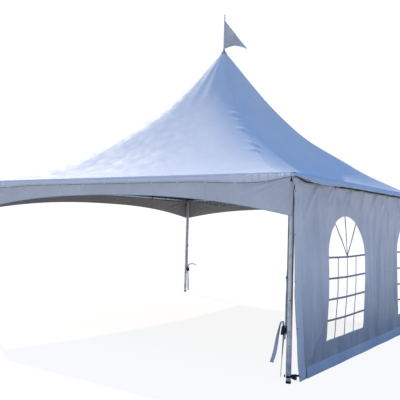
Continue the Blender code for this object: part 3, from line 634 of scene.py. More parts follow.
def eyelet(centre: Vector, normal: Vector, radius: float = 0.011) -> bmesh.types.BMesh:
    """Rolled metal eyelet whose hole is closed by a disc of its own dark finish: painted shade of the
    hole.

    Args:
        centre: middle of the eyelet on the sheet.
        normal: direction that it faces.
        radius: outer radius.

    Returns:
        The shape.
    """
    hole = radius * 0.5
    profile = [(0.0, 0.0002)]
    for step in range(9):
        angle = math.pi * step / 8
        profile.append((hole + (radius - hole) * (0.5 - 0.5 * math.cos(angle)),
                        0.0006 + 0.0016 * math.sin(angle)))
    profile += [(radius, -0.0002), (0.0, -0.0002)]
    return moved(turned(profile, 24), aimed(centre, centre + normal))


@dataclass
class SubAssembly:
    """Base of every group of pieces: it keeps the sizes and finishes each piece."""

    sizes: Sizes

    def add(self, name: str, shape: bmesh.types.BMesh, finishes: Sequence[Finish], slot: Slot,
            replaces: Sequence[str] = (), sharp: float = 35.0) -> bpy.types.Object:
        """Turn a shape into a piece that rides on the tent.

        Args:
            name: the piece's name.
            shape: its mesh, which is freed.
            finishes: its finish, and that of its inner face where it has one.
            slot: the record's slot of its finish.
            replaces: nodes that it stands for.
            sharp: angle in degrees above which an edge stays sharp.

        Returns:
            The piece.
        """
        mesh = bpy.data.meshes.new(name)
        shape.to_mesh(mesh)
        shape.free()
        mesh.shade_smooth()
        mesh.set_sharp_from_angle(angle=math.radians(sharp))
        for finish in finishes:
            mesh.materials.append(finish.material())
        piece = bpy.data.objects.new(name, mesh)
        bpy.context.scene.collection.objects.link(piece)
        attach(piece, BODY)
        if replaces:
            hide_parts(*replaces)
        LOG.info("%s: %d faces, %s", name, len(mesh.polygons), slot.value)
        return piece

    @staticmethod
    def thicken(piece: bpy.types.Object, thickness: float, inner: bool = False) -> None:
        """Give a sheet its thickness on its inner side.

        Args:
            piece: the open sheet.
            thickness: how thick it is.
            inner: whether its inner face takes the second finish.
        """
        solid = piece.modifiers.new("thickness", "SOLIDIFY")
        solid.thickness = thickness
        solid.offset = -1.0
        solid.use_even_offset = True
        solid.use_rim = True
        if inner:
            solid.material_offset = 1

    def build(self) -> None:
        """Make every piece of the group."""
        raise NotImplementedError


@dataclass(frozen=True)
class RoofForm:
    """Shape of the membrane: the rule that the frame's own roof solid follows."""

    sizes: Sizes
    peak_z: float = 5.095
    hollow: float = 1.93
    round_power: float = 2.0
    squaring: float = 16.0
    squaring_power: float = 1.6
    square_from: float = 0.9
    seam_z: float = 2.337
    seam_rise: float = 0.042
    seam_rise_start: float = 2.62
    seam_dip: float = 0.026
    seam_dip_place: float = 2.35
    seam_dip_spread: float = 0.45
    waist: float = 0.040
    waist_at: float = 0.22
    waist_spread: float = 0.15
    full_width: float = 0.80
    full_hips: tuple[tuple[Corner, float], ...] = (
        (Corner.BACK_RIGHT, 0.120), (Corner.FRONT_LEFT, 0.030))

    @property
    def face(self) -> float:
        """Distance from the middle to the outer face of the roof's edge."""
        return self.sizes.leg_axis + self.sizes.edge_radius

    def point(self, tau: float, angle: float) -> Vector:
        """Place on the slope.

        Args:
            tau: 0 at the peak, 1 over the rails.
            angle: direction in plan, in radians.

        Returns:
            The place.
        """
        tau = min(tau, 1.0)
        power = self.round_power + self.squaring * tau ** self.squaring_power
        cos_a, sin_a = abs(math.cos(angle)), abs(math.sin(angle))
        square = max(cos_a, sin_a)
        rounded = (cos_a ** power + sin_a ** power) ** (1.0 / power)
        blend = min(tau / self.square_from, 1.0) ** 6
        norm = rounded * (1.0 - blend) + square * blend
        hip = 2.0 ** (1.0 / power - 0.5) * (1.0 - blend) + blend * math.sqrt(0.5)
        reach = self.sizes.leg_axis * math.sqrt(2.0) * tau * hip / norm
        edge_z = self.sizes.rail_z + self.sizes.edge_radius
        height = edge_z + (self.peak_z - edge_z) * (1.0 - tau) ** self.hollow
        slim = math.exp(-((tau - self.waist_at) / self.waist_spread) ** 2)
        height -= self.waist * slim * min(tau / 0.1, 1.0)
        place = Vector((reach * math.cos(angle), reach * math.sin(angle), height))
        place.z += self.fullness(place)
        return place

    def fullness(self, place: Vector) -> float:
        """Rise of the membrane where it blows out a little along a hip."""
        rise = 0.0
        for corner, amount in self.full_hips:
            along = -place.dot(corner.inward)
            aside = abs(place.cross(corner.inward).z)
            share = smoothstep(along, 1.40, 2.45) * (1.0 - smoothstep(along, 3.15, 4.24))
            rise += amount * share * math.exp(-(aside / self.full_width) ** 2)
        return float(rise)

    def seam_height(self, along: float) -> float:
        """Height of the seam under the roof's edge, at a distance from mid-eave."""
        room = self.sizes.leg_axis - self.seam_rise_start
        rise = min(max(0.0, (abs(along) - self.seam_rise_start) / room), 1.0)
        dip = math.exp(-((abs(along) - self.seam_dip_place) / self.seam_dip_spread) ** 2)
        return self.seam_z + self.seam_rise * rise ** 1.5 - self.seam_dip * dip


@dataclass
class Roof(SubAssembly):
    """Roof membrane with its hips, puckers, rolled eave, corner pads and eyelets."""

    rings: int = 128
    octant_spokes: int = 36
    spoke_packing: float = 1.6
    first_ring: float = 0.0045
    thickness: float = 0.0014
    flare: float = 0.020
    wall_flare: float = 0.070
    scallop: float = 0.008
    scallop_pitch: float = 0.27
    hip_band_width: float = 0.030
    hip_band_lift: float = 0.0030
    pad_reach: float = 0.26
    puckers: tuple[tuple[float, float, float], ...] = (
        (1.28, 0.02, 62.0), (1.40, -0.03, 68.0), (1.47, 0.05, 58.0), (1.60, -0.01, 64.0),
        (1.72, 0.03, 55.0), (1.86, -0.02, 60.0), (2.30, 0.02, 50.0), (2.52, -0.02, 52.0),
    )

    def __post_init__(self) -> None:
        """Keep the form that all of the roof's pieces share."""
        self.form = RoofForm(self.sizes)

    def build(self) -> None:
        """Make the membrane, its hip bands and its corner eyelets."""
        membrane = self.add("roof_membrane", self.membrane_shape(), (ROOF_WHITE, ROOF_INNER),
                            Slot.ROOF, ("roof_cover",), 60.0)
        self.pucker(membrane.data)
        area = self.area(membrane.data)
        others = [side for side in Side if side is not Side.RIGHT]
        trims = [
            self.add("roof_hip_bands", joined(self.hip_band(corner) for corner in Corner),
                     (ROOF_WHITE,), Slot.ROOF),
            self.add("roof_corner_pads", self.corner_pads(membrane.data), (ROOF_WHITE,),
                     Slot.ROOF),
            # Painted shade: dark triangles stand for the shaded openings beside each corner fitting.
            self.add("roof_corner_slit_shades", joined(self.slits()), (PAINTED_SHADE_DARK,), Slot.BLACK_WEBBING),
            self.add("roof_slit_welts", joined(self.welts()), (ROOF_WHITE,), Slot.ROOF),
            self.add("roof_eyelets", joined(self.corner_eyelets()), (NICKEL_AND_HOLE_SHADE,), Slot.ROOF),
            # The edge bands carry painted light: a brighter warm copy of the vinyl on the open sides,
            # a pale blue one over the wall.
            self.add("roof_edge_bands", joined(self.edge_band(side) for side in others),
                     (EDGE_SUNLIT_WHITE,), Slot.ROOF),
            self.add("roof_wall_edge_band", self.edge_band(Side.RIGHT), (EDGE_SKYLIT_BLUE,), Slot.ROOF),
            self.add("roof_lip_hem", joined(self.lip_hem(side) for side in Side), (EDGE_SUNLIT_WHITE,),
                     Slot.ROOF),
        ]
        self.thicken(membrane, self.thickness, inner=True)
        membrane.modifiers["thickness"].use_even_offset = False

    def corner_pads(self, mesh: bpy.types.Mesh) -> bmesh.types.BMesh:
        """Doubled patches over the four corners, a little proud of the membrane."""
        shape = bmesh.new()
        shape.from_mesh(mesh)
        tip = self.sizes.leg_axis
        far = [face for face in shape.faces
               if abs(abs(face.calc_center_median().x) - tip)
               + abs(abs(face.calc_center_median().y) - tip) > self.pad_reach]
        bmesh.ops.delete(shape, geom=far, context="FACES")
        for vert in shape.verts:
            vert.co += vert.normal * 0.0010
        bmesh.ops.solidify(shape, geom=shape.faces[:], thickness=0.0008)
        return shape

    def edge_band(self, side: Side) -> bmesh.types.BMesh:
        """Doubled band welded round the roof's edge, with its rope bead and its wrinkles."""
        axis = self.sizes.leg_axis
        reach = axis - 0.004
        start = 66.0

        def rule(a: float, b: float) -> Vector:
            along = reach * math.sin(math.pi / 2 * a)
            share = (b + 1.0) / 2
            near = abs(along) / axis
            turn = start * (1.0 - share / 0.6) if share < 0.6 else -3.0 * (share - 0.6) / 0.4
            spot = self.rolled(side.turn @ Vector((along, -axis, 0.0)), turn)
            flat = side.turn.inverted() @ spot
            bead = 0.0070 * math.exp(-((turn - 56.0) / 6.0) ** 2)
            bead += 0.0030 * math.exp(-((turn - 12.0) / 5.0) ** 2)
            pleat = math.sin(83.0 * along + 4.0 * math.sin(9.0 * along) + 0.02 * turn)
            pleat += 0.7 * math.sin(47.0 * along + 3.0 * math.sin(5.0 * along))
            strength = 0.0003 + 0.0030 * smoothstep(near, 0.60, 1.0) * (1.0 - 0.8 * (turn > 40.0))
            lift = 0.0022 + bead + strength * (1.0 + pleat) * math.sin(math.pi * min(share, 0.97))
            tilt = math.radians(max(turn, 0.0))
            return flat + Vector((0.0, -math.cos(tilt), math.sin(tilt))) * lift

        shape = bent(grid(380, 20), rule)
        bmesh.ops.recalc_face_normals(shape, faces=shape.faces)
        if sum(face.normal.y for face in shape.faces) > 0.0:
            bmesh.ops.reverse_faces(shape, faces=shape.faces)
        bmesh.ops.solidify(shape, geom=shape.faces[:], thickness=0.0010)
        return moved(shape, side.turn)

    def lip_hem(self, side: Side) -> bmesh.types.BMesh:
        """Rucked hem along the lower lip of the roof's edge on one side."""
        flare = self.wall_flare if side is Side.RIGHT else self.flare
        axis = self.sizes.leg_axis

        def rule(a: float, b: float) -> Vector:
            along = a * (self.form.face + 0.004)
            near = min(abs(along) / axis, 1.0)
            wide = flare
            if near > 0.93:
                wide += (self.flare - flare) * (near - 0.93) / 0.07
            scallop = self.scallop * abs(math.sin(math.pi * along / self.scallop_pitch))
            low = self.form.seam_height(min(abs(along), axis))
            low += scallop * (1.0 - near ** 12) * (1.0 if side is Side.RIGHT else 0.1)
            ruck = math.sin(97.0 * along + 3.0 * math.sin(11.0 * along))
            ruck += 0.6 * math.sin(173.0 * along + 2.0 * math.sin(7.0 * along))
            radius = 0.0036 + 0.0007 * ruck
            angle = math.pi * b
            out = self.form.face + wide + 0.0004 * ruck + radius * math.cos(angle)
            return Vector((along, -out, low + 0.0008 * ruck + radius * 1.3 * math.sin(angle)))

        shape = bent(grid(420, 8), rule)
        bmesh.ops.remove_doubles(shape, verts=shape.verts, dist=1e-5)
        ends = [edge for edge in shape.edges if edge.is_boundary]
        bmesh.ops.holes_fill(shape, edges=ends, sides=0)
        bmesh.ops.recalc_face_normals(shape, faces=shape.faces)
        return moved(shape, side.turn)

    def slit_line(self, side: float) -> tuple[Vector, Vector]:
        """Ends of one edge of the slit beside the front of the near corner."""
        face = -(self.form.face + self.flare + 0.0120)
        low = self.form.seam_height(self.sizes.leg_axis) - 0.068
        apex = Vector((self.sizes.leg_axis + 0.018, face, low + 0.074))
        return apex, Vector((apex.x + side, face, low))

    def each_corner(self) -> Iterable[Matrix]:
        """Placements of a detail from the near corner to all four."""
        for corner in Corner:
            yield Matrix.Diagonal((corner.value[0], -corner.value[1], 1.0, 1.0))

    def slits(self) -> Iterable[bmesh.types.BMesh]:
        """Dark solid triangles in front of each corner fitting, where the webbing goes in: painted
        shade of the slits' openings.
        """
        for place in self.each_corner():
            shape = bmesh.new()
            apex, left = self.slit_line(-0.023)
            right = self.slit_line(0.023)[1]
            verts = [shape.verts.new(point) for point in (apex, left, right)]
            face = bmesh.ops.contextual_create(shape, geom=verts)["faces"]
            grown = bmesh.ops.extrude_face_region(shape, geom=face)["geom"]
            tips = [item for item in grown if isinstance(item, bmesh.types.BMVert)]
            bmesh.ops.translate(shape, vec=Vector((0.0, 0.0012, 0.0)), verts=tips)
            bmesh.ops.recalc_face_normals(shape, faces=shape.faces)
            yield moved(shape, place)

    def welts(self) -> Iterable[bmesh.types.BMesh]:
        """Bound edges of the slits."""
        for place in self.each_corner():
            for side in (-0.024, 0.024):
                yield moved(bar(*self.slit_line(side), 0.0026, 10), place)

    def corner_eyelets(self) -> Iterable[bmesh.types.BMesh]:
        """Eyelets on top of the corners and beside the slits."""
        rail, radius = self.sizes.rail_z, self.form.face
        for place in self.each_corner():
            top = Vector((radius - 0.012, -(radius - 0.012), rail + 0.034))
            yield moved(eyelet(top, Vector((0.5, -0.5, 0.75)), 0.012), place)
            low = Vector((radius + 0.0045, -(radius - 0.050), rail - 0.020))
            yield moved(eyelet(low, Vector((1.0, 0.0, 0.0)), 0.010), place)

    @staticmethod
    def area(mesh: bpy.types.Mesh) -> float:
        """Area of a mesh's faces in square metres."""
        return sum(face.area for face in mesh.polygons)

    def spoke_angle(self, angle: float) -> float:
        """Angle of a spoke, with the spokes packed towards the hips."""
        octant = math.pi / 4
        index = math.floor(angle / octant + 1e-4)
        share = min(max(angle / octant - index, 0.0), 1.0)
        if index % 2 == 0:
            packed = 1.0 - (1.0 - share) ** self.spoke_packing
        else:
            packed = share ** self.spoke_packing
        return (index + packed) * octant

    def roll_radius(self, turn: float) -> float:
        """Distance of the rim from the rail's axis, with the rope bead and the groove under it."""
        bead = 0.0080 * math.exp(-((turn - 62.0) / 7.0) ** 2)
        groove = 0.0035 * math.exp(-((turn - 43.0) / 5.0) ** 2)
        return self.sizes.edge_radius + bead - groove

    def membrane_shape(self) -> bmesh.types.BMesh:
        """Open surface of the slopes, rolled over the rails down to the seam."""
        shape = bmesh.new()
        ends = [shape.verts.new((self.first_ring, 0.0, 0.0)), shape.verts.new((1.0, 0.0, 0.0))]
        line = shape.edges.new(ends)
        bmesh.ops.subdivide_edges(shape, edges=[line], cuts=self.rings - 1)
        bmesh.ops.spin(shape, geom=shape.verts[:] + shape.edges[:], cent=(0.0, 0.0, 0.0),
                       axis=(0.0, 0.0, 1.0), dvec=(0.0, 0.0, 0.0), angle=math.tau,
                       steps=8 * self.octant_spokes, use_merge=True)
        bmesh.ops.remove_doubles(shape, verts=shape.verts, dist=1e-6)
        for vert in shape.verts:
            angle = math.atan2(vert.co.y, vert.co.x) % math.tau
            vert.co = self.form.point(vert.co.xy.length, self.spoke_angle(angle))
        rim = [edge for edge in shape.edges
               if edge.is_boundary and edge.verts[0].co.xy.length > 1.0]
        for turn in (84.0, 76.0, 69.0, 63.0, 57.0, 51.0, 46.0, 41.0, 36.0, 28.0, 18.0, 8.0, 0.0,
                     -1.0, -2.0, -3.0):
            grown = bmesh.ops.extrude_edge_only(shape, edges=rim)["geom"]
            rim = [item for item in grown
                   if isinstance(item, bmesh.types.BMEdge) and item.is_boundary]
            for vert in {vert for edge in rim for vert in edge.verts}:
                vert.co = self.rolled(vert.co, turn)
        bmesh.ops.recalc_face_normals(shape, faces=shape.faces)
        if sum(face.normal.z for face in shape.faces) < 0.0:
            bmesh.ops.reverse_faces(shape, faces=shape.faces)
        return shape

    def rolled(self, point: Vector, turn: float) -> Vector:
        """Place of the roof's rim round the rail.

        Args:
            point: a place on the rim before it moves.
            turn: angle round the rail in degrees, or minus the row below its middle.

        Returns:
            The new place.
        """
        axis = self.sizes.leg_axis
        x = min(max(point.x, -axis), axis)
        y = min(max(point.y, -axis), axis)
        on_x = abs(x) > axis - self.sizes.gap
        on_y = abs(y) > axis - self.sizes.gap
        along = axis if on_x and on_y else (y if on_x else x)
        near = min(abs(along) / axis, 1.0)
        lowest = self.form.seam_height(along)
        hung = on_x and x > 0.0
        flare = self.wall_flare if hung and not on_y else self.flare
        if hung and near > 0.93:
            flare += (self.flare - flare) * (near - 0.93) / 0.07
        if turn >= 0.0:
            radius = self.roll_radius(turn)
            out = radius * math.cos(math.radians(turn))
            out += 0.45 * flare * (1.0 - math.sin(math.radians(turn)))
            height = self.sizes.rail_z + radius * math.sin(math.radians(turn))
            height = max(height, lowest + 0.0005 * turn)
        else:
            drop = -turn / 3.0
            scallop = self.scallop * abs(math.sin(math.pi * along / self.scallop_pitch))
            lowest += scallop * (1.0 - near ** 12) * (1.0 if hung else 0.1)
            out = self.sizes.edge_radius + flare * (0.45 + 0.55 * drop)
            height = min(self.sizes.rail_z, lowest + 0.004)
            height += (lowest - height) * drop
        ruck = 0.0016 * (1.0 + math.sin(21.0 * along + 2.0 * math.sin(5.0 * along)))
        ruck *= 0.25 + 0.75 * near ** 4
        ruck += 0.0012 * near ** 8 * (1.0 + math.sin(140.0 * along + 0.05 * turn))
        out += ruck * math.cos(math.radians(max(turn, 0.0)))
        return Vector((x + math.copysign(out, x) if on_x else x,
                       y + math.copysign(out, y) if on_y else y, height))

    def pucker(self, mesh: bpy.types.Mesh) -> None:
        """Lift the slopes along their normals by puckers, pleats and ripples."""
        places = coordinates(mesh)
        normals = np.empty(len(mesh.vertices) * 3)
        mesh.vertices.foreach_get("normal", normals)
        normals = normals.reshape(-1, 3)
        x, y = places[:, 0], places[:, 1]
        inside = self.sizes.leg_axis - np.maximum(np.abs(x), np.abs(y))
        reach = np.hypot(x, y)
        lift = 0.0030 * np.sin(2.3 * x + 0.7) * np.sin(1.9 * y + 0.4 * x)
        lift += 0.0022 * np.sin(18.0 * np.arctan2(y, x)) * np.exp(-((reach - 0.55) / 0.35) ** 2)
        for corner in Corner:
            lift += self.hip_lift(x, y, corner)
        for near, along in ((self.sizes.leg_axis - np.abs(x), y),
                            (self.sizes.leg_axis - np.abs(y), x)):
            band = np.exp(-((near - 0.11) / 0.07) ** 2)
            strong = 0.15 + 0.85 * smoothstep(np.abs(along), 1.0, 2.5)
            lift += 0.0045 * band * strong * np.sin(near * 120.0 + 1.3 * np.sin(2.0 * along))
        lift *= smoothstep(inside, 0.004, 0.05) * smoothstep(reach, 0.05, 0.2)
        mesh.vertices.foreach_set("co", (places + normals * lift[:, None]).ravel())
        mesh.update()

    def hip_lift(self, x: np.ndarray, y: np.ndarray, corner: Corner) -> np.ndarray:
        """Lift by one hip: its cord line, its puckers and the fan of folds at its corner.

        Args:
            x: X of each place.
            y: Y of each place.
            corner: the hip's corner.

        Returns:
            The lift at each place.
        """
        out_x, out_y = -corner.inward.x, -corner.inward.y
        along = x * out_x + y * out_y
        aside = y * out_x - x * out_y
        shift = 0.05 * corner.value[0] + 0.03 * corner.value[1]
        lift = np.zeros_like(x)
        for place, offset, tilt in self.puckers:
            middle = (place + shift, offset)
            angle = math.radians(tilt)
            a, b = math.cos(angle), math.sin(angle)
            p = (along - middle[0]) * a + (aside - middle[1]) * b
            q = (aside - middle[1]) * a - (along - middle[0]) * b
            lift += 0.018 * np.exp(-(p / 0.10) ** 2 - (q / 0.028) ** 2)
        tip = self.sizes.leg_axis * math.sqrt(2.0)
        for spread in (-34.0, -21.0, -9.0, 9.0, 21.0, 34.0):
            angle = math.radians(spread)
            end = (tip - 1.1 * math.cos(angle), 1.1 * math.sin(angle))
            lift += 0.0055 * ridge(along, aside, (tip - 0.10, 0.0), end, 0.016, 0.05)
        return lift

    def hip_band(self, corner: Corner) -> bmesh.types.BMesh:
        """Welded lap along one hip, a little proud of the membrane."""
        angle = math.atan2(corner.value[1], corner.value[0])
        side = Vector((-math.sin(angle), math.cos(angle), 0.0))
        half = self.hip_band_width / 2

        def place(a: float, b: float) -> Vector:
            tau = 0.03 + 0.94 * (a + 1.0) / 2
            crown = self.form.point(tau, angle)
            ahead = self.form.point(tau + 0.001, angle) - crown
            normal = side.cross(ahead).normalized()
            if normal.z < 0.0:
                normal = -normal
            lift = self.hip_band_lift * (1.0 - b * b) + 0.0004
            return crown + side * half * b + normal * lift

        shape = bent(grid(160, 6), place)
        bmesh.ops.recalc_face_normals(shape, faces=shape.faces)
        if sum(face.normal.z for face in shape.faces) < 0.0:
            bmesh.ops.reverse_faces(shape, faces=shape.faces)
        bmesh.ops.solidify(shape, geom=shape.faces[:], thickness=0.0012)
        return shape


@dataclass
class Valances(SubAssembly):
    """Four arched strips under the roof's edge, each with its bound lower edge."""

    corner_z: float = 1.915
    crown_z: float = 2.169
    power: float = 2.4
    thickness: float = 0.0012
    hem_radius: float = 0.0042
    columns: int = 420
    rows: int = 26
    overlap: float = 0.004
    setback: float = 0.011
    taper: float = 0.028

    def __post_init__(self) -> None:
        """Keep the form of the edge that the strips hang from."""
        self.form = RoofForm(self.sizes)
        self.half = self.form.face - self.setback

    def build(self) -> None:
        """Make the strips and their hems."""
        for side in Side:
            name = side.name.lower()
            strip = self.add(f"valance_sheet_{name}", self.strip(side), (VALANCE_WHITE, VALANCE_INNER),
                             Slot.VALANCE, (f"valance_{name}",), 60.0)
            self.thicken(strip, self.thickness, inner=True)
            hem = self.add(f"valance_hem_{name}", self.hem(side), (HEM_BAND,), Slot.VALANCE)
            Roof.area(strip.data)
        # Painted shade: dark strips under the roof's lip stand for the shade of the gap there, deeper
        # and darker over the wall.
        self.add("valance_shade_line_right", self.shade_strip(Side.RIGHT), (PAINTED_SHADE_DARK,),
                 Slot.BLACK_WEBBING)
        others = [side for side in Side if side is not Side.RIGHT]
        self.add("valance_seam_tapes", joined(self.shade_strip(side) for side in others),
                 (SEAM_SHADE_GREY,), Slot.VALANCE)

    def reach(self, side: Side) -> float:
        """Half length of a strip at its seam: the front and the back lap over the others."""
        lapped = side in (Side.FRONT, Side.BACK)
        return self.form.face + (self.overlap if lapped else -self.setback)

    def bottom(self, along: float) -> float:
        """Height of the lower edge at a distance from mid-bay."""
        depth = (abs(along) / self.sizes.leg_axis) ** self.power
        return self.crown_z - (self.crown_z - self.corner_z) * depth

    def stand_off(self, along: np.ndarray, height: np.ndarray, side: Side) -> np.ndarray:
        """How far the strip stands off its plane, outward.

        Args:
            along: place along the eave.
            height: height of each place.
            side: the strip's side, which shifts its ripples.

        Returns:
            The distance at each place.
        """
        hang = np.clip((self.form.seam_z - height) / 0.25, 0.0, 1.0)
        near = np.minimum(np.abs(along) / self.sizes.leg_axis, 1.0)
        out = 0.0045 * np.sin(2.6 * along + 1.1 + side.value)
        out += 0.0020 * np.sin(7.3 * along - 2.0 * height + side.value)
        out *= (1.0 - near ** 6) * hang
        for end in (-1.0, 1.0):
            top = (end * (self.half - 0.02), self.form.seam_z + 0.02)
            fan = np.zeros_like(along)
            for reach, drop in ((0.95, 0.22), (0.70, 0.30), (0.50, 0.36), (0.33, 0.40),
                                (0.20, 0.42), (0.09, 0.43)):
                foot = (top[0] - end * reach, top[1] - drop)
                fan = np.maximum(fan, 0.019 * ridge(along, height, top, foot, 0.013, 0.026))
            out += fan
        for place in np.arange(-2.7, 2.8, 0.45):
            foot = (place + 0.05 * math.sin(9.0 * place), self.form.seam_z - 0.20)
            out += 0.0050 * ridge(along, height, (place, self.form.seam_z), foot, 0.012, 0.02)
        if side is Side.RIGHT:
            return -np.abs(out) * (1.0 - near ** 8)
        return out

    def strip(self, side: Side) -> bmesh.types.BMesh:
        """Open surface of one strip, facing outward."""

        reach = self.reach(side)

        def rule(a: float, b: float) -> Vector:
            along = a * (reach - self.taper * (1.0 - b) / 2)
            low = self.bottom(along)
            top = self.form.seam_height(along) + 0.010
            return Vector((along, -self.form.face, low + (top - low) * (b + 1.0) / 2))

        shape = bent(grid(self.columns, self.rows), rule)
        along = np.array([vert.co.x for vert in shape.verts])
        height = np.array([vert.co.z for vert in shape.verts])
        for vert, out in zip(shape.verts, self.stand_off(along, height, side)):
            vert.co.y -= out
        bmesh.ops.recalc_face_normals(shape, faces=shape.faces)
        if sum(face.normal.y for face in shape.faces) > 0.0:
            bmesh.ops.reverse_faces(shape, faces=shape.faces)
        return moved(shape, side.turn)

    def hem(self, side: Side) -> bmesh.types.BMesh:
        """Rolled binding along the lower edge."""
        reach = self.reach(side) - self.taper
        places = np.linspace(-reach, reach, self.columns + 1)
        lows = np.array([self.bottom(place) for place in places])
        outs = self.stand_off(places, lows, side)

        def rule(a: float, b: float) -> Vector:
            index = round((a + 1.0) / 2 * self.columns)
            angle = math.pi * b
            out = self.form.face + outs[index] - self.thickness / 2
            out += self.hem_radius * 0.55 * math.cos(angle)
            return Vector((places[index], -out, lows[index] + self.hem_radius * math.sin(angle)))

        shape = bent(grid(self.columns, 10), rule)
        bmesh.ops.remove_doubles(shape, verts=shape.verts, dist=1e-5)
        ends = [edge for edge in shape.edges if edge.is_boundary]
        bmesh.ops.holes_fill(shape, edges=ends, sides=0)
        bmesh.ops.recalc_face_normals(shape, faces=shape.faces)
        return moved(shape, side.turn)

    def shade_strip(self, side: Side) -> bmesh.types.BMesh:
        """Dark strip just under the roof's edge, shaped as a tape: painted shade of the gap between
        the roof's lip and the strip, seen as a line under it.
        """
        depth = 0.023 if side is Side.RIGHT else 0.008

        def rule(a: float, b: float) -> Vector:
            along = a * (self.half - 0.02)
            top = self.form.seam_height(along) + 0.006
            return Vector((along, -self.form.face - 0.0010, top - depth + depth * b))

        shape = bent(grid(120, 2), rule)
        bmesh.ops.recalc_face_normals(shape, faces=shape.faces)
        if sum(face.normal.y for face in shape.faces) > 0.0:
            bmesh.ops.reverse_faces(shape, faces=shape.faces)
        bmesh.ops.solidify(shape, geom=shape.faces[:], thickness=0.0006)
        return moved(shape, side.turn)


